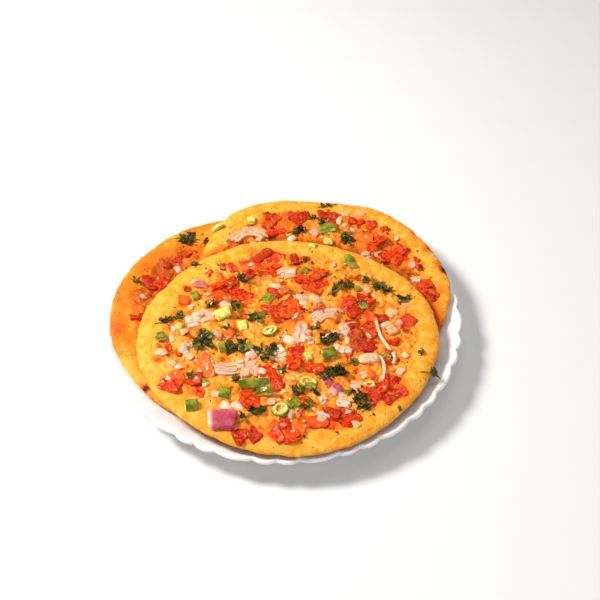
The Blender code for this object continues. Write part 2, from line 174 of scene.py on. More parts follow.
class Finish:
    """A material made of patterns on the piece's own coordinates. Pattern sizes are in millimetres."""

    def __init__(self, name, roughness, **sockets):
        self.material = bpy.data.materials.new(name)
        self.material.use_nodes = True
        self.tree = self.material.node_tree
        self.shader = self.tree.nodes["Principled BSDF"]
        self.shader.inputs["Roughness"].default_value = roughness
        for socket, value in sockets.items():
            self.shader.inputs[socket.replace("_", " ")].default_value = value
        self.place = self.add("ShaderNodeTexCoord").outputs["Object"]
        self.normal = None

    def add(self, kind, inputs=None, **settings):
        node = self.tree.nodes.new(kind)
        for name, value in settings.items():
            setattr(node, name, value)
        for name, value in (inputs or {}).items():
            if isinstance(value, bpy.types.NodeSocket):
                self.tree.links.new(value, node.inputs[name])
            else:
                node.inputs[name].default_value = value
        return node

    def clouds(self, size, detail=3.0, warp=0.0):
        inputs = {"Vector": self.place, "Scale": 1 / (size * MM), "Detail": detail, "Distortion": warp}
        return self.add("ShaderNodeTexNoise", inputs).outputs["Fac"]

    def cells(self, size, output="Distance", feature="F1"):
        inputs = {"Vector": self.place, "Scale": 1 / (size * MM)}
        return self.add("ShaderNodeTexVoronoi", inputs, feature=feature).outputs[output]

    def step(self, value, low, high, bottom=0.0, top=1.0):
        inputs = {"Value": value, "From Min": low, "From Max": high, "To Min": bottom, "To Max": top}
        return self.add("ShaderNodeMapRange", inputs, interpolation_type="SMOOTHSTEP").outputs["Result"]

    def sum(self, first, second, operation="ADD"):
        inputs = {0: first, 1: second}
        return self.add("ShaderNodeMath", inputs, operation=operation, use_clamp=True).outputs[0]

    def blend(self, share, below, above):
        below, above = ((*c, 1) if isinstance(c, tuple) else c for c in (below, above))
        return self.add("ShaderNodeMix", {0: share, 6: below, 7: above}, data_type="RGBA").outputs[2]

    def marks(self, name):
        """The red, green, blue and alpha of a colour attribute, four measures of the surface."""
        found = self.add("ShaderNodeAttribute", attribute_name=name).outputs
        parts = self.add("ShaderNodeSeparateColor", {"Color": found["Color"]}).outputs
        return parts["Red"], parts["Green"], parts["Blue"], found["Alpha"]

    def colour(self, value):
        self.tree.links.new(value, self.shader.inputs["Base Color"])

    def polish(self, value, low, high):
        """Roughness that follows a pattern between two values."""
        self.tree.links.new(self.step(value, 0.3, 0.7, low, high), self.shader.inputs["Roughness"])

    def relief(self, height, depth):
        """Adds a layer of relief, depth in millimetres, over the layers before."""
        inputs = {"Height": height, "Distance": depth * MM, "Strength": 1.0}
        if self.normal:
            inputs["Normal"] = self.normal
        self.normal = self.add("ShaderNodeBump", inputs).outputs["Normal"]
        self.tree.links.new(self.normal, self.shader.inputs["Normal"])


def glaze():
    """Slightly warm white under a clear, faintly wavy glaze, with pin specks and a bare biscuit foot."""
    made = Finish("white_glaze", 0.1, Coat_Weight=0.35, Coat_Roughness=0.04)
    white = made.blend(made.clouds(28), (0.88, 0.865, 0.86), (0.83, 0.80, 0.795))
    speck = made.step(made.cells(6.5), 0.03, 0.05, 1, 0)
    rare = made.step(made.clouds(4), 0.58, 0.62)
    pinned = made.blend(made.sum(speck, rare, "MULTIPLY"), white, (0.5, 0.43, 0.38))
    height = made.add("ShaderNodeSeparateXYZ", {"Vector": made.place}).outputs["Z"]
    bare = made.step(height, 0.25 * MM, 0.6 * MM, 1, 0)
    made.colour(made.blend(bare, pinned, (0.62, 0.57, 0.5)))
    rough = made.step(bare, 0, 1, 0.1, 0.75)
    made.tree.links.new(rough, made.shader.inputs["Roughness"])
    made.relief(made.clouds(9, 2), 0.05)
    made.relief(made.clouds(0.5, 2), 0.004)
    return made.material


def finish_piece(piece, name, material, slot, *replaced):
    """Names a piece, gives it its material, and sets it on the part's one body in place of its solids."""
    piece.name = name
    piece.data.name = name
    piece.data.materials.clear()
    piece.data.materials.append(material)
    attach(piece, "root")
    if replaced:
        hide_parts(*replaced)
    piece.select_set(False)


plate = press_plate()
finish_piece(plate, "fluted_plate", glaze(), "white_glaze", "plate")


# Uttapams: a ladle of soft fermented batter spread in a pan and baked with its toppings pressed in.
# The middle puffs up round them, the margin stays smooth and golden, and the underside browns.
CAKES = {
    "left": {
        "centre": (-25.2, 2.4),
        "radius": 98.2,
        "waves": ((2, 0.9, 66), (5, 0.6, 34)),
        "seed": 3.7,
        "baked": 0.27,
    },
    "right": {
        "centre": (23, 22.2),
        "radius": 95.2,
        "waves": ((3, 1.5, 0), (4, 1.3, 32), (5, 1.0, -19), (6, 1.4, 4)),
        "seed": 8.2,
        "baked": 0.14,
    },
    "front": {
        "centre": (4, -28),
        "radius": 98.7,
        "waves": ((2, 4.4, 6), (3, 0.5, 31), (4, 1.5, 9)),
        "seed": 5.1,
        "baked": 0.0,
    },
}
THICKNESS = 6.8 * MM
THINNED = 0.14
RIM_SWELL = 0.7 * MM
RIM_SHARE = 0.9
RIM_WIDTH = 0.06
BATTER_BUMP = 0.9 * MM
BUMP_WIDTH = 17 * MM
EDGE_FROM = 0.93
# Where the uneven middle ends and the smooth margin begins, and how far the border wanders
MIDDLE_SHARE = 0.80
BORDER_WIDTH = 0.08
BORDER_WANDER = 0.035
# Where a solid's underside is felt: rings out to its edge, each swung round from the last
PROBE_RINGS = 13
PROBE_SPACING = 0.07
PROBE_SWING = 2.4
PROBES_A_RING = 12
# The batter swells round its toppings, and the small bits that are part of a solid stand this far clear
PUFF_REACH = 4.5 * MM
CLEAR_OF_TOP = 0.9 * MM
CAKE_SECTORS = 560
TOP_RINGS = 128
EDGE_RINGS = 18
UNDER_RINGS = 12
# How much the middle browns over the rest, how much painted shade darkens its hollows and the batter
# beside toppings, and the most that all but the burnt spots may brown
MIDDLE_BROWNED = 0.24
HOLLOW_PAINTED_SHADE = 1.2
BESIDE_TOPPING_PAINTED_SHADE = 0.24
BROWNEST = 1.02
# Painted shadow: how far from the front uttapam's edge the right one is darkened where the front one
# shades it, and how much
FRONT_SHADOW_WIDTH = 12 * MM
FRONT_SHADOW_DARKNESS = 0.95

# Patches that the pan browned more, and three of painted shade: cake, place from its centre in
# millimetres, reach and strength.
# Those over 1 are burnt dark.
PATCHES_BROWNED_AND_SHADED = (
    ("left", -62, 41, 40, 0.55),
    ("left", -85, 11, 26, 0.6),
    ("left", -92, -14, 18, 0.5),
    ("left", -40, 87, 20, 0.3),
    ("left", -89, -25, 16, 0.3),
    ("left", -67, -70, 5, 1.6),
    # These three, along the front uttapam's edge, are painted shade where the front one shades the right
    # one
    ("right", 45, 32, 18, 0.5),
    ("right", 62, 16, 18, 0.3),
    ("right", 80, -8, 20, 0.3),
    ("right", 78, 55, 12, 0.45),
    ("right", 40, 76, 12, 0.4),
    ("right", -20, 62, 22, 0.4),
    ("right", 95, 18, 7, 2.0),
    ("right", 77, 58, 7, 0.6),
    ("right", 84, 39, 8, 0.7),
    ("right", 90, 24, 8, 0.7),
    ("front", -88, -24, 6, 0.9),
    ("front", -75, 10, 16, 0.3),
    ("front", -75, -40, 18, 0.3),
    ("front", 8, 62, 14, 0.35),
    ("front", 0, 10, 30, 0.15),
    ("front", 45, -20, 24, 0.3),
    ("front", 76, -40, 16, 0.35),
    ("front", 71, 25, 12, 0.4),
)


def lumps(points, size, seed):
    """Smooth random heights between -1 and 1 that change over the given size."""
    shift = Vector((7.1 * seed, 3.3 * seed, seed))
    return np.array([noise.noise(Vector(p) / size + shift) for p in points])


def tree_of(obj):
    corners = [v.co for v in obj.data.vertices]
    return BVHTree.FromPolygons(corners, [p.vertices for p in obj.data.polygons])


def outline_of(spots):
    """The middle, turn, length and width of the tightest oblong round some places."""
    best = None
    for turn in np.radians(np.arange(0, 90, 3)):
        axes = np.array([[math.cos(turn), math.sin(turn)], [-math.sin(turn), math.cos(turn)]])
        low, high = (spots @ axes.T).min(0), (spots @ axes.T).max(0)
        if best is None or np.prod(high - low) < best[0]:
            best = np.prod(high - low), turn, (low + high) / 2 @ axes, high - low
    _, turn, middle, (length, width) = best
    if width > length:
        length, width, turn = width, length, turn + math.pi / 2
    return middle, turn, length, width


class Cake:
    """One pancake's outline and the bent sheet that its solid lies as."""

    def __init__(self, name, centre, radius, waves, seed, baked):
        self.name = name
        self.centre = np.array(centre) * MM
        self.radius = radius * MM
        self.waves = waves
        self.seed = seed
        self.baked = baked
        self.solid = tree_of(nodes[f"uttapam_{name}"])
        rings = np.arange(1, PROBE_RINGS + 1)[:, None]
        bearings = PROBE_SWING * rings + np.linspace(0, math.tau, PROBES_A_RING)
        spots = self.at(PROBE_SPACING * rings, bearings).reshape(-1, 2)
        under = [self.solid.ray_cast(Vector((x, y, -1)), Vector((0, 0, 1)))[0].z for x, y in spots]
        self.bend = np.linalg.lstsq(self.terms(spots).T, np.array(under), rcond=None)[0]
        self.fused = self.fused_bits()

    def outline(self, angle):
        """Distance from the centre to the edge. A wave is its count, height and a crest's bearing."""
        out = np.full_like(angle, self.radius, dtype=float)
        for count, height, crest in self.waves:
            out = out + height * MM * np.cos(count * (angle - math.radians(crest)))
        return out

    def at(self, share, angle):
        reach = share * self.outline(angle)
        return self.centre + np.stack([reach * np.cos(angle), reach * np.sin(angle)], -1)

    def terms(self, spots):
        """The terms of a gently bent sheet, up to the fourth degree."""
        u, v = ((spots - self.centre) / self.radius).T
        return np.stack([u**i * v ** (d - i) for d in range(5) for i in range(d + 1)])

    def underside(self, spots):
        return self.bend @ self.terms(spots)

    def share(self, spots):
        """How far out a place lies, from 0 in the middle to 1 on the outline."""
        away = spots - self.centre
        return np.hypot(*away.T) / self.outline(np.arctan2(away[:, 1], away[:, 0]))

    def smooth_height(self, spots, share):
        """Height of the smooth batter over the underside: thinner outwards, a swollen rim, soft bumps."""
        places = np.column_stack([spots / BUMP_WIDTH, np.full(len(spots), self.seed)])
        soft = np.array([noise.noise(Vector(place)) for place in places])
        tall = THICKNESS * (1 - THINNED + THINNED * smoothstep(1 - share))
        tall += RIM_SWELL * np.exp(-(((share - RIM_SHARE) / RIM_WIDTH) ** 2))
        return tall + BATTER_BUMP * soft * (1 - 0.8 * smoothstep((share - 0.6) / 0.25))

    def fused_bits(self):
        """Outlines of the small bits that are part of the solid: what stands clear of its smooth top."""
        solid = nodes[f"uttapam_{self.name}"]
        points, corners = np.unique(coordinates(solid).round(6), axis=0, return_inverse=True)
        share = self.share(points[:, :2])
        clear = points[:, 2] - self.underside(points[:, :2]) - self.smooth_height(points[:, :2], share)
        proud = (clear > CLEAR_OF_TOP) & (share < RIM_SHARE)
        faces = corners.ravel()[[tuple(p.vertices) for p in solid.data.polygons]]
        faces = faces[proud[faces].all(axis=1)]
        patch = np.arange(len(points))
        for _ in range(8):
            for face in faces:
                patch[face] = patch[face].min()
        return [outline_of(points[patch == mark, :2]) for mark in np.unique(patch[faces])]


def turned_ball(sectors, rings):
    """A ball of unit size turned from a half circle, the start of a round flat piece."""
    bpy.ops.mesh.primitive_circle_add(vertices=2 * rings, radius=1, rotation=(math.pi / 2, 0, 0))
    ball = bpy.context.object
    bpy.ops.object.transform_apply(location=True, rotation=True, scale=True)
    bpy.ops.object.mode_set(mode="EDIT")
    bpy.ops.mesh.select_all(action="SELECT")
    bpy.ops.mesh.bisect(plane_co=(0, 0, 0), plane_no=(1, 0, 0), clear_inner=True)
    bpy.ops.object.mode_set(mode="OBJECT")
    turn = ball.modifiers.new("turn", "SCREW")
    turn.steps = turn.render_steps = sectors
    turn.use_merge_vertices = True
    turn.merge_threshold = 1e-5
    bpy.ops.object.modifier_apply(modifier=turn.name)
    close_up()
    return ball


def topping_spots(cake):
    """Points round the solids of a cake's toppings, by kind, for the swelling, stains and painted shade.
    """
    spots = {}
    for name, node in nodes.items():
        kind, _, rest = name.partition("_")
        if rest.split("_")[-2:-1] == [cake.name]:
            spots.setdefault(kind, []).append(coordinates(node)[:, :2])
    return {kind: np.concatenate(found) for kind, found in spots.items()}


def nearness(spots, found, reach):
    """1 beside the given points, falling to 0 at the reach."""
    if found is None:
        return np.zeros(len(spots))
    tree = KDTree(len(found))
    for index, (x, y) in enumerate(found):
        tree.insert((x, y, 0), index)
    tree.balance()
    distance = np.array([tree.find((x, y, 0))[2] for x, y in spots])
    return smoothstep(1 - distance / reach)


def bake_cake(cake):
    """Shapes a sphere's rings into the pancake: over the top, round the edge and back under."""
    rings = TOP_RINGS + EDGE_RINGS + UNDER_RINGS
    piece = turned_ball(CAKE_SECTORS, rings)
    ball = coordinates(piece)
    ring = np.rint(np.arccos(np.clip(ball[:, 2], -1, 1)) / math.pi * rings)
    angle = np.arctan2(ball[:, 1], ball[:, 0])
    round_edge = np.clip((ring - TOP_RINGS) / EDGE_RINGS, 0, 1) * math.pi
    share = np.where(ring <= TOP_RINGS, EDGE_FROM * ring / TOP_RINGS, EDGE_FROM)
    share = share + (1 - EDGE_FROM) * np.sin(round_edge)
    under = ring > TOP_RINGS + EDGE_RINGS
    share[under] = EDGE_FROM * (rings - ring[under]) / UNDER_RINGS
    lift = 0.5 + 0.5 * np.cos(round_edge)

    rim = np.stack([np.cos(angle), np.sin(angle), np.zeros_like(angle)], -1) * cake.radius
    ragged = 1.1 * lumps(rim, 13 * MM, cake.seed) + 0.6 * lumps(rim, 4.5 * MM, cake.seed + 1)
    spots = cake.at(share, angle)
    spots = cake.centre + (spots - cake.centre) * (1 + ragged * MM / cake.radius * share**6)[:, None]

    flat = np.column_stack([spots, np.zeros(len(spots))])

    def lumpy(width, number):
        """Heights between -1 and 1 that change over a width in millimetres, one set for each number."""
        return lumps(flat, width * MM, cake.seed + number)

    border = share + BORDER_WANDER * lumpy(11, 2)
    inner = 1 - smoothstep((border - MIDDLE_SHARE) / BORDER_WIDTH)
    found = topping_spots(cake)
    every = np.concatenate(list(found.values()))
    puff = nearness(spots, every, PUFF_REACH)
    puff_of_bits = nearness(spots, [bit[0] for bit in cake.fused], PUFF_REACH)
    # Heights in millimetres
    mounds = 1.8 * lumpy(9.5, 3) + 0.9 * lumpy(5, 4)
    wrinkles = 0.25 - np.abs(lumpy(6, 10))
    creases = 0.5 - 1.4 * np.abs(lumpy(6.5, 11))
    rough = inner * mounds + (0.3 + inner) * wrinkles + inner * (0.4 + puff) * creases
    rough += 0.08 * lumpy(1.8, 5) + 0.45 * lumpy(14, 6)
    # Low places in the middle, darkened below by painted shade
    hollow = inner * smoothstep((-0.1 - rough) / 1.3)
    rough += 0.9 * puff * inner + 0.5 * puff_of_bits
    fading = smoothstep(1 - (share - RIM_SHARE) / (1 - RIM_SHARE))
    height = cake.underside(spots) + lift * (cake.smooth_height(spots, share) + rough * MM * fading)
    set_coordinates(piece, np.column_stack([spots, height]))
    piece.data.shade_smooth()

    browned = cake.baked + MIDDLE_BROWNED * inner + 0.24 * lumpy(20, 7) + 0.18 * lumpy(7, 8)
    # Painted shade: darker in the hollows of the middle and in a ring beside every topping
    browned += HOLLOW_PAINTED_SHADE * hollow + BESIDE_TOPPING_PAINTED_SHADE * inner * nearness(spots, every, 2.5 * MM)
    # Painted shadow: a dark band on the right uttapam along the front one's edge
    if cake.name == "right":
        beyond = (cakes["front"].share(spots) - 1) * cake.radius
        browned += FRONT_SHADOW_DARKNESS * smoothstep(1 - np.abs(beyond) / FRONT_SHADOW_WIDTH)
    for cake_name, x, y, reach, strength in sorted(PATCHES_BROWNED_AND_SHADED, key=lambda patch: patch[-1]):
        if cake_name == cake.name:
            away = np.hypot(*(spots - cake.centre - np.array((x, y)) * MM).T)
            most = 2 if strength > 1 else BROWNEST
            browned = np.minimum(browned + strength * smoothstep(1 - away / (reach * MM)), most)
    stained = nearness(spots, found.get("tomato"), 8 * MM) * (0.75 + 0.5 * lumpy(5, 9))
    # The green of the baked mark holds the browning together with the painted shade
    marks = np.column_stack([1 - inner, browned / 2, stained, 1 - smoothstep((lift - 0.15) / 0.3)])
    layer = piece.data.attributes.new("baked", "FLOAT_COLOR", "POINT")
    layer.data.foreach_set("color", np.clip(marks, 0, 1).ravel())
    return piece


def batter():
    """Golden batter, oranger and browner where baked longer and darker in painted shade, with juice,
    specks, pores and oil.
    """
    made = Finish(
        "baked_batter",
        0.45,
        Subsurface_Weight=0.08,
        Subsurface_Scale=1.5 * MM,
        Subsurface_Radius=(1.0, 0.35, 0.08),
        Specular_IOR_Level=0.18,
    )
    margin, browned, stained, underneath = made.marks("baked")
    mottle = made.step(made.clouds(6, 3, 0.8), 0.36, 0.64)
    grain = made.step(made.clouds(2.0, 2, 0.3), 0.35, 0.65)
    golden = made.blend(mottle, (0.88, 0.25, 0.009), (0.92, 0.43, 0.055))
    smooth = made.blend(mottle, (0.92, 0.32, 0.014), (0.95, 0.48, 0.065))
    colour = made.blend(margin, golden, smooth)
    colour = made.blend(made.sum(grain, 0.25, "MULTIPLY"), colour, (0.92, 0.25, 0.008))
    pale = made.step(made.clouds(4.5, 2, 0.7), 0.56, 0.68, 0, 0.5)
    colour = made.blend(made.sum(pale, margin, "SUBTRACT"), colour, (0.95, 0.56, 0.16))
    # The browned mark carries painted shade as well: in hollows, beside toppings and beside the front
    # uttapam
    browned_and_shade = made.sum(browned, made.step(made.clouds(3.8, 3, 1.0), 0.5, 0.75, 0, 0.17))
    colour = made.blend(made.step(browned_and_shade, 0.11, 0.31), colour, (0.86, 0.20, 0.006))
    colour = made.blend(made.step(browned_and_shade, 0.33, 0.52, 0, 0.85), colour, (0.42, 0.062, 0.004))
    colour = made.blend(made.step(browned_and_shade, 0.6, 0.75, 0, 0.95), colour, (0.035, 0.008, 0.002))
    colour = made.blend(made.step(stained, 0.2, 0.9, 0, 0.75), colour, (0.86, 0.12, 0.006))
    scorched = made.step(made.clouds(6, 4, 0.5), 0.35, 0.65)
    under = made.blend(scorched, (0.74, 0.33, 0.05), (0.36, 0.12, 0.02))
    colour = made.blend(underneath, colour, under)
    for size, kept in ((2.4, 0.55), (1.4, 0.6)):
        speck = made.step(made.cells(size), 0.10, 0.17, 0.8, 0)
        rare = made.step(made.cells(size, "Color"), kept, kept + 0.03)
        colour = made.blend(made.sum(speck, rare, "MULTIPLY"), colour, (0.20, 0.05, 0.008))
    made.colour(colour)
    oily = made.step(made.sum(made.clouds(6, 3), made.sum(margin, 0.4, "MULTIPLY")), 0.3, 0.85, 0.16, 0.6)
    made.tree.links.new(oily, made.shader.inputs["Roughness"])
    folds = made.sum(made.clouds(5.2, 2, 0.6), made.step(margin, 0, 1, 1, 0.35), "MULTIPLY")
    made.relief(folds, 2.9)
    pores = made.sum(made.step(made.cells(1.6), 0.0, 0.36), made.step(margin, 0, 1, 0.4, 1), "MULTIPLY")
    made.relief(pores, 0.15)
    made.relief(made.clouds(1.2, 2), 0.06)
    return made.material


BATTER = batter()
cakes = {name: Cake(name, **cake) for name, cake in CAKES.items()}
grounds = {}
fused = {"tomato": [], "onion": []}
draw = random.Random(7)
for cake_name in CAKES:
    uttapam = bake_cake(cakes[cake_name])
    grounds[cake_name] = tree_of(uttapam)
    for outline in cakes[cake_name].fused:
        fused[draw.choice(("tomato", "onion"))].append((cake_name, *outline))
    finish_piece(uttapam, f"baked_uttapam_{cake_name}", BATTER, "browned_batter", f"uttapam_{cake_name}")


# Tomato: ripe tomatoes chopped coarsely and pressed into the wet batter, several chunks to a clump.
# In the pan they soften, glisten and split: red inside, orange along the skin, charred in the creases.
CHUNK_LENGTH = 9.5 * MM
CHUNK_WIDTH = 8 * MM
CHUNK_HEIGHT = (3.0 * MM, 4.4 * MM)
TOMATO_SINK = 1.9 * MM
# How far a chunk's corners wander, how it leans, the width and depth of its creases, and how it drapes
TOMATO_UNEVEN = 0.22
TOMATO_LEAN = 0.17
TOMATO_CREASES = (3.8 * MM, 1.0 * MM)
TOMATO_DRAPE = 0.35
# How much darker the tomato cooked on each uttapam
ROASTED = {"left": 0.6, "right": 0.0, "front": 0.0}
# The photograph's own camera. It also places the bits that are too small for a solid of their own.
CAMERA_PLACE = (0.01171, -0.56902, 0.65909)
CAMERA_DOWN = math.radians(47.556)
CAMERA_LENS = 72
CAMERA_SENSOR = 36
PICTURE = 600
EDGE_STEP = 1 / 80
# Bits sunk at random in the batter: how many, within which share of its outline, and their sizes
SUNK_TOMATO = 34
TOMATO_REACH = 0.74
SUNK_TOMATO_LENGTH = (2.5, 5.5)
SUNK_TOMATO_HEIGHT = 2.2 * MM
CREASE_SEED = 7
# The steepest that a loose piece lies
STEEPEST = 0.4
# Smaller tomato bits: place in the photograph in pixels, length and width in millimetres, turn in degrees
TOMATO_BITS = (
    (245, 298, 11, 14, 20), (155, 288, 14, 10, -10), (140, 317, 7, 14, 70), (280, 226, 14, 13, 10),
    (303, 220, 11, 8, 0), (407, 320, 8, 7, 20), (288, 310, 14, 13, 10), (335, 316, 5, 6, 0),
    (270, 378, 13, 10, -30), (252, 398, 9, 16, 5), (315, 368, 7, 10, 30), (316, 423, 13, 8, 0),
    (373, 397, 9, 11, -20), (330, 313, 7, 6, 20), (230, 297, 8, 6, 0), (233, 332, 5, 8, 0),
    (357, 417, 6, 10, 20), (377, 317, 7, 14, 70), (282, 293, 12, 13, -30), (295, 433, 11, 8, 60),
)


class Heap:
    """Gathers placed copies of small shapes, with a tint at each point, and joins them to one mesh."""

    def __init__(self):
        self.points = []
        self.faces = []
        self.tints = []
        self.count = 0

    def add(self, points, faces, tints):
        self.points.append(points)
        self.faces += [tuple(corner + self.count for corner in face) for face in faces]
        self.tints.append(np.broadcast_to(tints, (len(points), 3)))
        self.count += len(points)

    def build(self):
        mesh = bpy.data.meshes.new("heap")
        mesh.from_pydata(np.concatenate(self.points).tolist(), [], self.faces)
        layer = mesh.attributes.new("tint", "FLOAT_COLOR", "POINT")
        tints = np.column_stack([np.concatenate(self.tints), np.ones(self.count)])
        layer.data.foreach_set("color", np.clip(tints, 0, 1).ravel())
        mesh.shade_smooth()
        piece = bpy.data.objects.new("heap", mesh)
        bpy.context.scene.collection.objects.link(piece)
        return piece


def taken(obj):
    """The points and faces of a modelled shape, which is then removed."""
    points, faces = coordinates(obj), [tuple(p.vertices) for p in obj.data.polygons]
    bpy.data.objects.remove(obj)
    return points, faces


def soft_block(ease, grain):
    """A block of unit size with eased corners and an even skin of faces, the start of every cut piece."""
    bpy.ops.object.select_all(action="DESELECT")
    bpy.ops.mesh.primitive_cube_add(size=1)
    block = bpy.context.object
    round_off = block.modifiers.new("ease", "BEVEL")
    round_off.width = ease
    round_off.segments = 3
    bpy.ops.object.modifier_apply(modifier=round_off.name)
    skin = block.modifiers.new("skin", "REMESH")
    skin.mode = "VOXEL"
    skin.voxel_size = grain
    bpy.ops.object.modifier_apply(modifier=skin.name)
    return taken(block)


# Finely skinned blocks for the pieces that are solids of their own, and a coarse one for the small bits
FINE = 0.065
COARSE = 0.16
CHUNK = soft_block(0.12, FINE)
PEBBLE = soft_block(0.36, FINE)
BIT = soft_block(0.15, COARSE)


def cut_piece(block, size, rng, uneven):
    """A hand-cut copy of a block, each corner pushed about at random, standing on its underside."""
    points = block[0]
    shifts = rng.uniform(-uneven, uneven, (2, 2, 2, 3))
    share = np.stack([0.5 - points, 0.5 + points], -1)
    points = points + np.einsum("na,nb,nc,abcd->nd", share[:, 0], share[:, 1], share[:, 2], shifts)
    return (points + (0, 0, 0.5)) * size


def turned(points, angle, axis="Z"):
    return points @ np.array(Matrix.Rotation(angle, 3, axis)).T


# The noise that creases the pieces would otherwise be another one in each run
noise.seed_set(CREASE_SEED)


def crumpled(points, size, depth, rng):
    """Pushes points about by a smooth random field, so that a shape softens, creases and curls."""
    shift = Vector(rng.uniform(0, 90, 3))
    return points + depth * np.array([noise.noise_vector(Vector(p) / size + shift) for p in points])


def footprint(node):
    """The cake that a solid lies on, from its name, and its outline's middle, turn, length and width."""
    return node.split("_")[-2], *outline_of(coordinates(nodes[node])[:, :2])


def seen_at(across, down, length, width, turn):
    """The same five values for a bit that the photograph shows at a pixel. One past an edge moves in."""
    middle = PICTURE / 2
    hits = []
    while not hits:
        ray = Vector((across - middle, middle - down, -CAMERA_LENS / CAMERA_SENSOR * PICTURE))
        ray.rotate(Matrix.Rotation(math.pi / 2 - CAMERA_DOWN, 3, "X"))
        ray.normalize()
        hits = [(tree.ray_cast(Vector(CAMERA_PLACE), ray), name) for name, tree in grounds.items()]
        hits = [(hit[3], name, hit[0]) for hit, name in hits if hit[0]]
        across += (middle - across) * EDGE_STEP
        down += (middle - down) * EDGE_STEP
    _, name, place = min(hits)
    return name, np.array(place.xy), math.radians(turn), length * MM, width * MM


def ground(cake_name, x, y):
    hit = grounds[cake_name].ray_cast(Vector((x, y, 1)), Vector((0, 0, -1)))[0]
    return hit.z if hit else None


def seat(points, cake_name, middle, turn, sink=0.0, drape=0.0):
    """Sets a piece's own points on the batter: level with the slope at its middle, or draped over it."""
    points = turned(points, turn) + np.array([*middle, 0])
    side = 3 * MM
    centre = ground(cake_name, *middle)
    slopes = []
    for dx, dy in ((side, 0), (0, side)):
        ahead = ground(cake_name, middle[0] + dx, middle[1] + dy) or centre
        behind = ground(cake_name, middle[0] - dx, middle[1] - dy) or centre
        slopes.append(np.clip((ahead - behind) / (2 * side), -STEEPEST, STEEPEST))
    base = centre + (points[:, :2] - middle) @ np.array(slopes)
    if drape:
        below = [ground(cake_name, x, y) for x, y in points[:, :2]]
        below = np.array([b if b is not None else level - MM for b, level in zip(below, base)])
        base += drape * (below - base)
    points[:, 2] += base - sink
    return points


def random_spot(reach, rng, only=None):
    """A place drawn anywhere on the uppermost batter, within a share of its outline."""
    while True:
        x, y = rng.uniform(-PLATE_RADIUS, PLATE_RADIUS, 2)
        height, name = max((ground(name, x, y) or 0, name) for name in CAKES)
        cake = cakes[name]
        away = np.array([x, y]) - cake.centre
        share = np.hypot(*away) / cake.outline(np.arctan2(away[1:], away[:1]))[0]
        if height and share < reach and only in (None, name):
            return name, np.array([x, y])


def cells_of(middle, turn, length, width, cell_length, cell_width, rng):
    """Middles and sizes of the cells that a clump is cut into, set a little out of line."""
    columns, rows = max(1, round(length / cell_length)), max(1, round(width / cell_width))
    cell = np.array([length / columns, width / rows])
    for column in range(columns):
        for row in range(rows):
            place = (np.array([column, row]) + 0.5 + rng.uniform(-0.2, 0.2, 2)) * cell
            x, y = place - (length / 2, width / 2)
            yield middle + turned(np.array([[x, y, 0]]), turn)[0, :2], cell


def tomato_chunk(heap, block, cake_name, middle, turn, size, rng):
    """One chopped chunk: skin on one face, wet flesh on the others, softened and sunk in the batter."""
    points = cut_piece(block, size, rng, TOMATO_UNEVEN)
    points[:, 2] *= 1 - rng.uniform(0.1, 0.6) * (points[:, 0] / size[0] + 0.5)
    skin = smoothstep((points[:, 1] / size[1] - 0.25) / 0.12) * (rng.random() < 0.6)
    for axis in "XY":
        points = turned(points, rng.normal(0, TOMATO_LEAN), axis)
    points = crumpled(points, *TOMATO_CREASES, rng)
    orange, charred = rng.random(2)
    tints = np.column_stack([np.full(len(points), orange), np.full(len(points), charred), skin])
    tints[:, :2] += np.array((-1, 1)) * ROASTED[cake_name]
    heap.add(seat(points, cake_name, middle, turn, TOMATO_SINK, TOMATO_DRAPE), block[1], tints)


def tomato_clump(heap, block, place, rng):
    cake_name, middle, turn, length, width = place
    for spot, cell in cells_of(middle, turn, length, width, CHUNK_LENGTH, CHUNK_WIDTH, rng):
        size = (*(cell * rng.uniform(1.1, 1.5, 2)), rng.uniform(*CHUNK_HEIGHT))
        tomato_chunk(heap, block, cake_name, spot, turn + rng.uniform(-0.9, 0.9), size, rng)


def tomato_flesh():
    """Red flesh mottled with orange pulp, under a wet gloss, with darker skin and charred creases."""
    made = Finish(
        "tomato_flesh",
        0.2,
        Subsurface_Weight=0.12,
        Subsurface_Scale=1.5 * MM,
        Subsurface_Radius=(1.0, 0.12, 0.03),
        Specular_IOR_Level=0.2,
        Coat_Weight=0.15,
        Coat_Roughness=0.05,
    )
    orange, roasted, skin, _ = made.marks("tint")
    mottle = made.step(made.clouds(3.2, 3, 0.9), 0.36, 0.62)
    red = made.blend(mottle, (0.45, 0.008, 0.001), (0.86, 0.062, 0.003))
    colour = made.blend(made.step(orange, 0.55, 0.95, 0, 0.8), red, (0.94, 0.17, 0.012))
    pulp = made.step(made.clouds(2.0, 3, 0.9), 0.57, 0.66, 0, 0.6)
    colour = made.blend(pulp, colour, (0.96, 0.30, 0.05))
    colour = made.blend(made.sum(skin, 0.6, "MULTIPLY"), colour, (0.55, 0.010, 0.002))
    colour = made.blend(made.step(roasted, 0.5, 1.0, 0, 0.55), colour, (0.40, 0.028, 0.003))
    creases = made.step(made.clouds(2.6, 3, 0.8), 0.54, 0.64)
    charred = made.sum(made.step(roasted, 0.5, 0.9), creases, "MULTIPLY")
    made.colour(made.blend(charred, colour, (0.22, 0.016, 0.003)))
    made.polish(made.clouds(2, 3), 0.08, 0.3)
    made.relief(made.clouds(2.8, 2), 0.5)
    made.relief(made.clouds(1.0, 2), 0.08)
    return made.material


TOMATO = tomato_flesh()
for index, node in enumerate(sorted(n for n in nodes if n.startswith("tomato_"))):
    tomato = Heap()
    tomato_clump(tomato, CHUNK, footprint(node), np.random.default_rng(index + 1))
    finish_piece(tomato.build(), "chopped_" + node, TOMATO, "tomato", node)

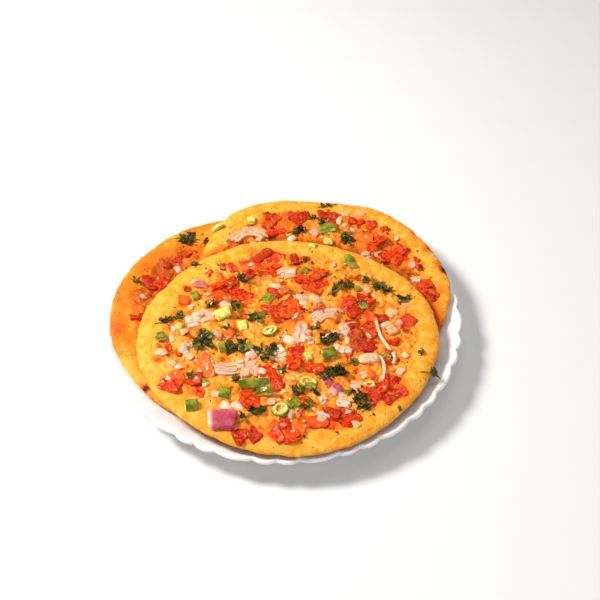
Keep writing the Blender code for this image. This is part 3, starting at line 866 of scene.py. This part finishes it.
small_tomato = Heap()
draw = np.random.default_rng(41)
for row in TOMATO_BITS:
    tomato_clump(small_tomato, BIT, seen_at(*row), draw)
for place in fused["tomato"]:
    tomato_clump(small_tomato, BIT, place, draw)
for _ in range(SUNK_TOMATO):
    size = (*draw.uniform(*SUNK_TOMATO_LENGTH, 2) * MM, SUNK_TOMATO_HEIGHT)
    spot = random_spot(TOMATO_REACH, draw, "front")
    tomato_chunk(small_tomato, BIT, *spot, draw.uniform(0, math.pi), size, draw)
finish_piece(small_tomato.build(), "small_tomato_bits", TOMATO, "tomato")


# Onion: a red onion chopped coarsely. Its layers part as they fry: pale, half clear and rosy, with
# purple along each layer's skin and brown streaks where it caught on the pan.
ONION_SINK = 1.6 * MM
ONION_LAYER = 1.5 * MM
WEDGE_RISE = 0.5
ONION_CREASES = (5 * MM, 0.6 * MM)
ONION_DRAPE = 0.4
# The radius that a flat layer is cupped to
ONION_CUP = 11 * MM
FLAT = "flat"
EDGE = "on edge"
WEDGE = "wedge"
KNOB = "knob"
# How far a piece's corners wander, by its lie
ONION_UNEVEN = {EDGE: 0.1, FLAT: 0.2, WEDGE: 0.06, KNOB: 0.15}
# How each onion solid is cut: lie, layers, radius of their bend in millimetres, how purple, how browned
ONION_CUTS = {
    "onion_front_01": (EDGE, 2, 60, 0.4, 0.7),
    "onion_front_02": (EDGE, 5, 15, 0.35, 0.1),
    "onion_front_03": (EDGE, 5, 14, 0.45, 0.2),
    "onion_front_04": (KNOB, 1, 60, 0.0, 0.0),
    "onion_front_05": (WEDGE, 1, 60, 1.0, 0.0),
    "onion_front_06": (EDGE, 4, 40, 0.5, 0.0),
    "onion_front_07": (EDGE, 4, 22, 0.65, 0.0),
    "onion_front_08": (FLAT, 2, 40, 0.2, 0.0),
    "onion_right_01": (EDGE, 3, 17, 0.3, 0.5),
}
# Smaller onion bits: pixel, length and width in millimetres, turn in degrees, how purple
ONION_BITS = (
    (227, 303, 9, 8, 10, 0.2), (202, 287, 6, 11, 60, 0.8), (314, 232, 7, 10, 10, 0.6),
    (292, 239, 7, 5, 0, 0.0), (372, 254, 17, 6, -15, 0.4), (357, 214, 9, 6, -10, 0.3),
    (338, 222, 7, 8, 0, 0.1), (416, 280, 7, 6, -10, 0.3), (310, 299, 15, 10, 10, 0.1),
    (321, 311, 11, 11, 30, 0.9), (350, 332, 12, 13, 20, 0.4), (387, 312, 14, 7, 0, 0.0),
    (390, 328, 8, 11, 30, 0.1), (173, 338, 7, 10, 0, 0.1), (183, 333, 7, 6, 20, 0.1),
    (161, 352, 9, 6, -5, 0.0), (172, 362, 6, 6, 20, 0.0), (180, 366, 6, 8, 40, 0.0),
    (188, 355, 6, 9, 60, 0.0), (252, 355, 9, 7, 10, 0.5), (255, 372, 6, 14, 80, 0.7),
    (224, 408, 11, 8, -10, 0.0), (237, 405, 8, 11, 50, 0.1), (311, 342, 5, 5, 0, 0.0),
    (331, 385, 7, 13, 60, 0.9), (338, 393, 6, 14, 70, 0.5), (324, 398, 6, 6, 20, 0.2),
    (322, 417, 9, 7, -20, 0.7), (345, 403, 11, 8, -15, 0.1), (350, 411, 7, 5, 10, 0.5),
    (353, 425, 6, 6, 40, 0.0), (357, 387, 7, 8, 0, 0.5), (342, 350, 7, 13, 65, 0.5),
    (348, 339, 6, 6, 20, 0.0), (278, 358, 6, 10, 60, 0.4), (193, 322, 11, 10, 20, 0.2),
    (207, 315, 9, 8, -10, 0.1), (288, 340, 6, 11, 80, 0.0), (368, 290, 6, 6, 20, 0.0),
    (217, 335, 7, 8, 20, 0.2), (215, 395, 6, 5, 0, 0.4), (209, 363, 7, 6, 20, 0.3),
    (240, 363, 6, 8, 20, 0.0), (280, 352, 7, 10, 30, 0.1), (273, 400, 6, 8, 10, 0.5),
    (292, 298, 9, 8, 10, 0.0), (293, 315, 8, 8, 20, 0.1), (275, 290, 8, 9, 10, 0.0),
)
SLIGHT_BEND = 40
SUNK_ONION = 64
ONION_REACH = 0.76
# Long pale strands, by the pixels that they run through, and their radius
ONION_STRANDS = (
    ((376, 321), (378, 334), (386, 346), (391, 352)),
    ((372, 358), (381, 357), (385, 368), (384, 381)),
    ((393, 354), (396, 361), (393, 365)),
)
STRAND_RADIUS = 1.35 * MM


def bent(points, radius):
    """Bends a piece that lies along X round an upright axis at the given distance."""
    angle = points[:, 0] / radius
    reach = radius + points[:, 1]
    return np.column_stack([reach * np.sin(angle), reach * np.cos(angle) - radius, points[:, 2]])


def onion_layer(heap, block, place, turn, size, radius, tints, rng):
    """One slab of onion flesh. Its purple skin is on its far side, or on top where the slab lies flat."""
    cake_name, middle, shift, lift = place
    lie, purple, browned = tints
    points = cut_piece(block, size, rng, ONION_UNEVEN[lie])
    aside, ahead, up = (points / size).T
    side = {EDGE: ahead, FLAT: up - 0.5, WEDGE: aside + 0.6, KNOB: up}[lie]
    skin = purple * (0.3 + 0.7 * smoothstep((side - 0.1) / 0.25))
    points[:, :2] += shift
    points = bent(points, radius)
    if lie == FLAT:
        points[:, 2] -= (points[:, 0] ** 2 + 0.5 * points[:, 1] ** 2) / (2 * ONION_CUP)
        points = turned(turned(points, rng.normal(0, 0.12), "X"), rng.normal(0, 0.12), "Y")
    points[:, 2] += lift
    points = crumpled(points, *ONION_CREASES, rng)
    tints = np.column_stack([skin, np.full(len(points), rng.random()), np.full(len(points), browned)])
    heap.add(seat(points, cake_name, middle, turn, ONION_SINK, ONION_DRAPE), block[1], tints)


def cut_onion(heap, block, place, cut, rng):
    """Layers on edge side by side, or flat ones stacked up."""
    cake_name, middle, turn, length, width = place
    lie, layers, radius, purple, browned = cut
    if lie in (WEDGE, KNOB):
        spot = cake_name, middle, (0, 0), 0
        size = (length, width, WEDGE_RISE * width)
        onion_layer(heap, block, spot, turn, size, radius * MM, (lie, purple, browned), rng)
        return
    if lie == EDGE:
        thick = width / layers
        for index in range(layers):
            long, tall = length * rng.uniform(0.75, 1.0), rng.uniform(2.3, 2.8) * MM + 0.2 * thick
            shift = (rng.uniform(-0.09, 0.09) * length, (index + 0.5 - layers / 2) * thick)
            spot = cake_name, middle, shift, rng.uniform(-0.2, 0.3) * MM
            size = (long, 1.3 * thick, tall)
            onion_layer(heap, block, spot, turn, size, radius * MM, (lie, purple, browned), rng)
        return
    for spot, cell in cells_of(middle, turn, length, width, CHUNK_LENGTH, CHUNK_WIDTH, rng):
        swing = turn + rng.uniform(-0.5, 0.5)
        for index in range(layers):
            size = (*(cell * rng.uniform(0.85, 1.08, 2) * (1 - 0.07 * index)), ONION_LAYER)
            shift = rng.uniform(-0.5, 0.5, 2) * MM
            stacked = cake_name, spot, shift, (0.2 * MM + 0.85 * ONION_LAYER) * index
            onion_layer(heap, block, stacked, swing, size, radius * MM, (lie, purple, browned), rng)


def stalk(path, radius):
    """A thin round stalk or strand along a few points."""
    line = bpy.data.curves.new("stalk", "CURVE")
    line.dimensions = "3D"
    line.bevel_depth = radius
    line.bevel_resolution = 1
    line.use_fill_caps = True
    run = line.splines.new("NURBS")
    run.points.add(len(path) - 1)
    run.points.foreach_set("co", [value for point in path for value in (*point, 1)])
    run.use_endpoint_u = True
    run.order_u = 3
    run.resolution_u = 5
    piece = bpy.data.objects.new("stalk", line)
    bpy.context.scene.collection.objects.link(piece)
    bpy.ops.object.select_all(action="DESELECT")
    piece.select_set(True)
    bpy.context.view_layer.objects.active = piece
    bpy.ops.object.convert(target="MESH")
    close_up(1e-6)
    return taken(bpy.context.object)


def onion_flesh():
    """Pale, half clear flesh, rosy to purple at the skin, golden where soaked, streaked where browned."""
    made = Finish(
        "fried_onion",
        0.2,
        Subsurface_Weight=0.5,
        Subsurface_Scale=4 * MM,
        Subsurface_Radius=(1.0, 0.55, 0.3),
        Specular_IOR_Level=0.3,
        Coat_Weight=0.2,
        Coat_Roughness=0.06,
    )
    skin, soaked, browned, _ = made.marks("tint")
    cloudy = made.step(made.clouds(2.6, 3, 0.5), 0.35, 0.65)
    pale = made.blend(cloudy, (0.93, 0.49, 0.24), (0.96, 0.74, 0.54))
    pale = made.blend(made.step(soaked, 0.25, 0.9, 0, 0.8), pale, (0.90, 0.42, 0.12))
    colour = made.blend(made.step(skin, 0.0, 0.55, 0.12, 0.65), pale, (0.86, 0.30, 0.28))
    deeper = made.step(made.clouds(7, 2), 0.35, 0.65)
    purple = made.blend(deeper, (0.44, 0.042, 0.085), (0.60, 0.10, 0.15))
    colour = made.blend(made.step(skin, 0.5, 0.95), colour, purple)
    streaks = made.step(made.clouds(3.4, 3, 1.0), 0.54, 0.66)
    colour = made.blend(made.sum(streaks, browned, "MULTIPLY"), colour, (0.55, 0.15, 0.025))
    burnt = made.sum(made.step(made.clouds(1.8, 4, 1.5), 0.6, 0.65), browned, "MULTIPLY")
    made.colour(made.blend(burnt, colour, (0.05, 0.015, 0.006)))
    made.polish(made.clouds(2, 3), 0.1, 0.34)
    made.relief(made.clouds(2.2, 2), 0.25)
    made.relief(made.clouds(0.5, 2), 0.03)
    return made.material


ONION = onion_flesh()
for index, node in enumerate(sorted(ONION_CUTS)):
    onion = Heap()
    block = PEBBLE if ONION_CUTS[node][0] == KNOB else CHUNK
    cut_onion(onion, block, footprint(node), ONION_CUTS[node], np.random.default_rng(index + 60))
    finish_piece(onion.build(), "chopped_" + node, ONION, "onion", node)

small_onion = Heap()
draw = np.random.default_rng(42)
for *row, purple in ONION_BITS:
    if draw.random() < 0.55:
        cut = (FLAT, 2, SLIGHT_BEND, purple, 0.0)
    else:
        cut = (EDGE, 3, draw.uniform(9, 40), purple, 0.0)
    cut_onion(small_onion, BIT, seen_at(*row), cut, draw)
for place in fused["onion"]:
    cut_onion(small_onion, BIT, place, (FLAT, 2, SLIGHT_BEND, draw.uniform(0, 0.6), 0.0), draw)
for index in range(SUNK_ONION):
    spot = random_spot(ONION_REACH, draw, "front" if index % 3 else None)
    length = draw.uniform(3, 7) * MM
    place = (*spot, draw.uniform(0, math.pi), length, length * draw.uniform(0.5, 0.9))
    if index % 2:
        cut = (FLAT, 1, SLIGHT_BEND, draw.uniform(0, 0.5), 0.0)
    else:
        cut = (EDGE, 2, draw.uniform(6, 30), draw.uniform(0, 0.6), 0.0)
    cut_onion(small_onion, BIT, place, cut, draw)
for run in ONION_STRANDS:
    seen = [seen_at(*pixel, 1, 1, 0) for pixel in run]
    path = [(*spot, ground(name, *spot) + STRAND_RADIUS * 1.2) for name, spot, *_ in seen]
    points, faces = stalk(path, STRAND_RADIUS)
    small_onion.add(points, faces, (0, 0, 0))
finish_piece(small_onion.build(), "small_onion_bits", ONION, "onion")


# Green chilli: a mild thick-walled kind, cut into dice, strips and rings. Each has a glossy green skin
# on its outside and pale wet flesh on the cut sides, and flat cream seeds cling to the rings.
CHILLI_SINK = 1.9 * MM
CHILLI_WALL = 3.4 * MM
CHILLI_CREASES = (3.5 * MM, 0.6 * MM)
CHILLI_LEANS = (0.0, 0.3, -0.45, 0.8, -0.8)
# Pieces wider than this lean less
LEANS_TO = 4.5 * MM
# The wall bows by the square of the way across and along, over these
BOW_ACROSS = 18 * MM
BOW_ALONG = 50 * MM
# The share of dice that fell with their flesh up, and what frying leaves of a dice's length and width
FACE_DOWN = 0.3
FRIED = 0.86
RING_HEIGHT = 3.0 * MM
RING_SINK = 0.7 * MM
RING_CREASES = (4 * MM, 0.8 * MM)
# A ring's middle line and the half of its wall, as shares of its width
RING_LINE = 0.37
RING_WALL = 0.13
RING_SEEDS = 6
# What baking leaves of a small bit's size
SHRUNK = 0.88
# Smaller chilli bits: pixel, length and width in millimetres, turn in degrees
CHILLI_BITS = (
    (195, 297, 7, 10, 20), (243, 326, 9, 10, 10), (161, 338, 7, 11, 10), (264, 394, 5, 16, 80),
    (370, 387, 9, 10, 20), (308, 357, 6, 8, 30), (304, 270, 7, 6, 0), (357, 288, 5, 6, 0),
    (328, 232, 9, 7, 20), (328, 242, 9, 7, 0), (312, 246, 8, 6, -10), (251, 222, 7, 10, 10),
    (218, 229, 5, 13, -60), (222, 348, 6, 9, 20), (249, 347, 7, 6, 0), (205, 381, 5, 6, 0),
    (295, 403, 13, 10, 20), (387, 358, 5, 8, 40), (352, 266, 7, 8, 0), (310, 388, 9, 6, 0),
    (363, 307, 6, 8, 20), (180, 326, 6, 6, -20),
)
SEED_SIZE = (0.95 * MM, 0.75 * MM, 0.4 * MM)


def seed_form():
    bpy.ops.mesh.primitive_uv_sphere_add(segments=10, ring_count=7, radius=1)
    return taken(bpy.context.object)


SEED = seed_form()


def drop_seed(heap, cake_name, middle, lift, rng):
    points = turned(SEED[0] * SEED_SIZE * rng.uniform(0.85, 1.25), rng.uniform(-0.8, 0.8), "X")
    points[:, 2] += lift
    heap.add(seat(points, cake_name, middle, rng.uniform(0, math.pi)), SEED[1], (0, 1, 0))


def pepper_dice(heap, block, place, rng):
    """A piece of the pepper's wall, bowed, its skin up or tipped to a side, as it fell."""
    cake_name, middle, turn, length, width = place
    size = (length * FRIED, width * FRIED, CHILLI_WALL)
    points = cut_piece(block, size, rng, 0.1)
    up = points[:, 2] / CHILLI_WALL
    if rng.random() < FACE_DOWN and length < 2 * width:
        up = 1 - up
    skin = smoothstep((up - 0.62) / 0.2)
    points[:, 2] -= points[:, 1] ** 2 / BOW_ACROSS + points[:, 0] ** 2 / BOW_ALONG
    lean = rng.choice(CHILLI_LEANS) * min(1, LEANS_TO / width)
    points = turned(points, lean, "X")
    points[:, 2] -= points[:, 2].min()
    points = crumpled(points, *CHILLI_CREASES, rng)
    tints = np.column_stack([skin, skin * 0, np.full(len(points), rng.random())])
    heap.add(seat(points, cake_name, middle, turn, CHILLI_SINK), block[1], tints)


def pepper_ring(heap, place, rng):
    """A slice across a small chilli, with its seeds in the hollow."""
    cake_name, middle, turn, length, width = place
    bpy.ops.mesh.primitive_torus_add(
        major_segments=48, minor_segments=16, major_radius=RING_LINE, minor_radius=RING_WALL
    )
    points, faces = taken(bpy.context.object)
    skin = smoothstep((np.hypot(points[:, 0], points[:, 1]) - 0.40) / 0.05)
    squared = np.sign(points[:, 2]) * np.abs(points[:, 2] / RING_WALL) ** 0.6
    points[:, 2] = 0.5 + 0.5 * squared
    points = turned(points * (length, width, RING_HEIGHT), rng.uniform(-0.2, 0.2), "X")
    points = crumpled(points, *RING_CREASES, rng)
    tints = np.column_stack([skin, skin * 0, np.full(len(points), rng.random())])
    heap.add(seat(points, cake_name, middle, turn, RING_SINK), faces, tints)
    for _ in range(RING_SEEDS):
        bearing, reach = rng.uniform(0, math.tau), rng.uniform(0.02, 0.2)
        at = middle + reach * np.array([length * math.cos(bearing), width * math.sin(bearing)])
        drop_seed(heap, cake_name, at, rng.uniform(0.6, 1.8) * MM, rng)


def pepper_flesh():
    """Glossy green skin, darker on some pieces, over yellow-green flesh, and cream for the seeds."""
    made = Finish(
        "green_chilli",
        0.25,
        Subsurface_Weight=0.2,
        Subsurface_Scale=2 * MM,
        Subsurface_Radius=(0.7, 1.0, 0.1),
        Specular_IOR_Level=0.25,
        Coat_Weight=0.15,
        Coat_Roughness=0.05,
    )
    outside, seed, dark, _ = made.marks("tint")
    skin = made.blend(made.step(made.clouds(6, 2), 0.35, 0.65), (0.12, 0.145, 0.005), (0.31, 0.33, 0.018))
    skin = made.blend(made.step(dark, 0.6, 1.0, 0, 0.7), skin, (0.07, 0.085, 0.004))
    flesh = made.blend(made.step(made.clouds(2.2, 3), 0.35, 0.65), (0.54, 0.52, 0.05), (0.78, 0.74, 0.22))
    made.colour(made.blend(seed, made.blend(outside, flesh, skin), (0.92, 0.76, 0.42)))
    made.polish(made.clouds(2, 3), 0.12, 0.36)
    made.relief(made.clouds(1.2, 3), 0.15)
    made.relief(made.clouds(0.4, 2), 0.04)
    return made.material


CHILLI = pepper_flesh()
for index, node in enumerate(sorted(n for n in nodes if n.startswith("chilli_"))):
    pepper = Heap()
    draw = np.random.default_rng(index + 80)
    if "ring" in node:
        pepper_ring(pepper, footprint(node), draw)
    else:
        pepper_dice(pepper, CHUNK, footprint(node), draw)
    finish_piece(pepper.build(), "cut_" + node, CHILLI, "green_chilli", node)

small_chilli = Heap()
draw = np.random.default_rng(43)
for across, down, length, width, turn in CHILLI_BITS:
    place = seen_at(across, down, SHRUNK * length, SHRUNK * width, turn)
    pepper_dice(small_chilli, CHUNK, place, draw)
finish_piece(small_chilli.build(), "small_chilli_bits", CHILLI, "green_chilli")


# Coriander: fresh leaves torn off their stalks and scattered over the wet batter. The heat wilts them
# to dark, curled, oily clumps of lobed leaflets with bits of thin stalk between.
LEAF_HALF_FAN = math.radians(78)
# A leaflet's thickness and the height of its ripples, as shares of its length
LEAF_THICKNESS = 0.05
LEAF_RIPPLE = 0.06
LEAFLET_AREA = 20 * MM * MM
LEAF_CREASES = ((4.6 * MM, 1.6 * MM), (1.6 * MM, 0.3 * MM))
LEAF_DRAPE = 0.8
# A clump that is this many times as long as it is wide has its leaflets in line
NARROW = 1.9
# Clumps that are shorter than this have no stalk
STALK_FROM = 8 * MM
STALK_RADIUS = 0.4 * MM
# Smaller leaves: pixel, length and width in millimetres, turn in degrees
LEAF_BITS = (
    (211, 306, 9, 8, 0), (237, 308, 9, 13, 40), (194, 265, 7, 11, 60), (137, 282, 6, 13, 70),
    (191, 243, 7, 6, 0), (205, 242, 7, 5, 20), (228, 328, 11, 10, 10), (328, 206, 17, 6, 10),
    (310, 219, 9, 5, 0), (321, 223, 8, 6, 0), (405, 298, 12, 12, 30), (305, 311, 9, 5, -15),
    (314, 328, 7, 6, -10), (422, 268, 7, 2, -25), (192, 378, 7, 10, 50), (237, 379, 7, 6, 10),
    (283, 368, 7, 10, -40), (161, 338, 6, 6, 0), (273, 350, 7, 13, 0), (340, 372, 7, 13, 50),
    (315, 392, 8, 5, -20), (299, 392, 6, 10, 50), (307, 407, 7, 16, -60), (350, 392, 5, 10, -60),
    (355, 362, 12, 8, -10), (431, 375, 13, 6, 10), (335, 338, 6, 10, 60), (210, 345, 9, 11, 40),
    (363, 305, 7, 8, 0), (422, 353, 4, 4, 0), (367, 408, 6, 10, -60), (303, 262, 7, 4, 15),
    (221, 265, 7, 2, 15), (400, 410, 5, 2, 15),
)


def leaf_blade(across, along, lobed):
    """One flat leaflet, a unit long: a fan from its stalk with three lobes and small rounded teeth."""
    bpy.ops.mesh.primitive_grid_add(x_subdivisions=across, y_subdivisions=along, size=2)
    blade = bpy.context.object
    flat = coordinates(blade)
    spread, out = flat[:, 0], (flat[:, 1] + 1) / 2
    lobes = np.abs(np.cos(1.5 * math.pi * spread)) ** 0.7
    teeth = np.abs(np.sin(4.5 * math.pi * spread))
    reach = out * (1 - lobed + lobed * (0.8 * lobes + 0.2 * teeth))
    flat[:, 0] = reach * np.sin(spread * LEAF_HALF_FAN)
    flat[:, 1] = reach * np.cos(spread * LEAF_HALF_FAN)
    flat[:, 2] = LEAF_RIPPLE * np.cos(3 * math.pi * spread) * out
    set_coordinates(blade, flat)
    close_up(1e-4)
    wall = blade.modifiers.new("thickness", "SOLIDIFY")
    wall.thickness = LEAF_THICKNESS
    wall.offset = 0
    bpy.ops.object.modifier_apply(modifier=wall.name)
    return taken(blade)


BLADE = leaf_blade(19, 6, 0.17)
FLAKE = leaf_blade(4, 2, 0.2)


def wilted_leaf(blade, size, rng):
    """A copy of the leaflet, curled down at its tip, folded along its middle and tipped over."""
    points = blade[0] * size
    across, along = points[:, 0] / size, points[:, 1] / size
    points[:, 2] += size * (rng.uniform(-0.3, 0.6) * np.abs(across) - rng.uniform(0.0, 0.6) * along**2)
    points = turned(points, rng.uniform(-0.7, 0.7), "Y")
    return turned(points, rng.uniform(-0.1, 0.5), "X")


def leaf_clump(heap, place, rng):
    """Wilted leaflets heaped over an outline, along it where it is narrow, with a stalk through them."""
    cake_name, middle, turn, length, width = place
    if width > length:
        length, width, turn = width, length, turn + math.pi / 2
    count = max(3, round(length * width / LEAFLET_AREA))
    narrow = length > NARROW * width
    across = min(width, (5 if narrow else 7) * MM)
    rise = 0.17 * min(width, 6 * MM)
    for index in range(count):
        x, y = rng.uniform(-0.33, 0.33) * length, rng.uniform(-0.26, 0.26) * width
        bearing = rng.normal(0, 0.4) if narrow else rng.uniform(0, math.tau)
        size = rng.uniform(0.36, 0.62) * across + 1.5 * MM
        points = wilted_leaf(BLADE, size, rng)
        points[:, 1] -= 0.5 * size
        points = turned(points, bearing - math.pi / 2) + (x, y, 0.3 * MM + rng.uniform(0, rise))
        points = seat(points, cake_name, middle, turn, 0.0, LEAF_DRAPE)
        for creases in LEAF_CREASES:
            points = crumpled(points, *creases, rng)
        heap.add(points, BLADE[1], (rng.random(), 0, 0))
    if length < STALK_FROM:
        return
    sway = rng.uniform(-0.25, 0.25, 3) * width
    path = [(share * length, y, h * MM) for share, y, h in zip((-0.55, 0.0, 0.5), sway, (0.4, 1.6, 0.4))]
    points, faces = stalk(path, STALK_RADIUS)
    heap.add(seat(points, cake_name, middle, turn, 0.0, LEAF_DRAPE), faces, (rng.random(), 1, 0))


def wilted_green():
    """Dark oily green, lighter on some leaflets and on stalks, and browns for what is charred."""
    made = Finish("wilted_coriander", 0.3, Coat_Weight=0.3, Coat_Roughness=0.04, Specular_IOR_Level=0.12)
    light, stem, charred, _ = made.marks("tint")
    wilted = made.step(made.clouds(1.6, 3), 0.35, 0.7)
    green = made.blend(wilted, (0.019, 0.016, 0.001), (0.080, 0.080, 0.004))
    green = made.blend(made.step(light, 0.5, 1.0, 0, 0.7), green, (0.19, 0.19, 0.012))
    colour = made.blend(stem, green, (0.16, 0.24, 0.04))
    burnt = made.blend(light, (0.05, 0.015, 0.004), (0.24, 0.07, 0.01))
    made.colour(made.blend(charred, colour, burnt))
    made.polish(made.clouds(1.5, 3), 0.15, 0.42)
    made.relief(made.step(made.cells(1.3, feature="SMOOTH_F1"), 0.0, 0.5), 0.15)
    made.relief(made.clouds(0.4, 2), 0.05)
    return made.material


CORIANDER = wilted_green()
for index, node in enumerate(sorted(n for n in nodes if n.startswith("coriander_"))):
    clump = Heap()
    leaf_clump(clump, footprint(node), np.random.default_rng(index + 100))
    finish_piece(clump.build(), "wilted_" + node, CORIANDER, "coriander", node)

small_leaves = Heap()
draw = np.random.default_rng(44)
for across, down, length, width, turn in LEAF_BITS:
    leaf_clump(small_leaves, seen_at(across, down, SHRUNK * length, SHRUNK * width, turn), draw)
finish_piece(small_leaves.build(), "small_coriander_leaves", CORIANDER, "coriander")


# Scatterings: loose chilli and tomato seeds, crumbs of leaf and stalk, and flecks of charred spice.
# They fall anywhere on the batter, the flecks out to its edge, and stick as it sets.
SEED_SPOTS = (
    (230, 300), (274, 369), (281, 374), (289, 380), (293, 380), (315, 327), (345, 266), (319, 370),
    (304, 423), (305, 428), (314, 372), (276, 366), (290, 401), (338, 404),
)
SPOT_SEED_LIFT = 2.2 * MM
SEED_COUNT = 26
SEED_REACH = 0.75
SEED_LIFT = 0.3 * MM
# Crumbs, then flecks: how many, how far out, their sizes in millimetres, and whether they are charred
SCATTERED = ((150, 0.9, (1.1, 2.6), 0), (420, 0.985, (0.4, 1.0), 1))

seeds = Heap()
draw = np.random.default_rng(45)
for across, down in SEED_SPOTS:
    drop_seed(seeds, *seen_at(across, down, 1, 1, 0)[:2], SPOT_SEED_LIFT, draw)
for _ in range(SEED_COUNT):
    drop_seed(seeds, *random_spot(SEED_REACH, draw), SEED_LIFT, draw)
finish_piece(seeds.build(), "loose_seeds", CHILLI, "green_chilli")

crumbs = Heap()
for count, reach, size, charred in SCATTERED:
    for _ in range(count):
        name, middle = random_spot(reach, draw)
        points = wilted_leaf(FLAKE, draw.uniform(*size) * MM, draw) * (draw.uniform(0.35, 1), 1, 1)
        points[:, 2] += 0.15 * MM - points[:, 2].min() * 0.5
        points = seat(points, name, middle, draw.uniform(0, math.tau))
        crumbs.add(points, FLAKE[1], (draw.random(), 0, charred))
finish_piece(crumbs.build(), "leaf_crumbs_and_flecks", CORIANDER, "coriander")


# Floor: a plain pale surface. Light: a soft lamp high on the left, weaker ones in front and overhead,
# and an even white surround. Camera: the photograph's own angle and lens.
FLOOR_SIZE = 6
FLOOR_HEIGHT = -0.4 * MM
LAMPS_AIM = (0, 0, 20 * MM)
# Lamps: name, place, width, power and colour
LAMPS = (
    ("window", (-0.68, 0.14, 0.82), 0.3, 14.0, (1.0, 0.96, 0.90)),
    ("front_fill", (0.45, -0.9, 0.75), 1.2, 4.6, (1.0, 0.99, 0.97)),
    ("overhead", (0.1, 0.25, 1.2), 0.9, 3.0, (1.0, 1.0, 1.0)),
)
SURROUND = 0.18

bpy.ops.mesh.primitive_plane_add(size=FLOOR_SIZE, location=(0, 0, FLOOR_HEIGHT))
floor = bpy.context.object
floor.name = "floor"
paper = Finish("pale_floor", 0.8)
paper.colour(paper.blend(paper.clouds(60), (0.84, 0.84, 0.84), (0.82, 0.82, 0.82)))
floor.data.materials.append(paper.material)

for name, place, width, power, colour in LAMPS:
    light = bpy.data.lights.new(name, "AREA")
    light.shape = "DISK"
    light.size = width
    light.energy = power
    light.color = colour
    lamp = bpy.data.objects.new(name, light)
    lamp.location = place
    lamp.rotation_euler = (Vector(LAMPS_AIM) - Vector(place)).to_track_quat("-Z", "Y").to_euler()
    bpy.context.scene.collection.objects.link(lamp)

world = bpy.data.worlds.new("surround")
world.use_nodes = True
background = world.node_tree.nodes["Background"]
background.inputs["Color"].default_value = (1, 1, 1, 1)
background.inputs["Strength"].default_value = SURROUND
bpy.context.scene.world = world
bpy.context.scene.view_settings.view_transform = "Standard"

camera = bpy.data.objects.new("camera", bpy.data.cameras.new("camera"))
camera.data.lens = CAMERA_LENS
camera.data.sensor_width = CAMERA_SENSOR
camera.location = CAMERA_PLACE
camera.rotation_euler = (math.pi / 2 - CAMERA_DOWN, 0, 0)
camera.data.clip_start = 0.01
bpy.context.scene.collection.objects.link(camera)
bpy.context.scene.camera = camera
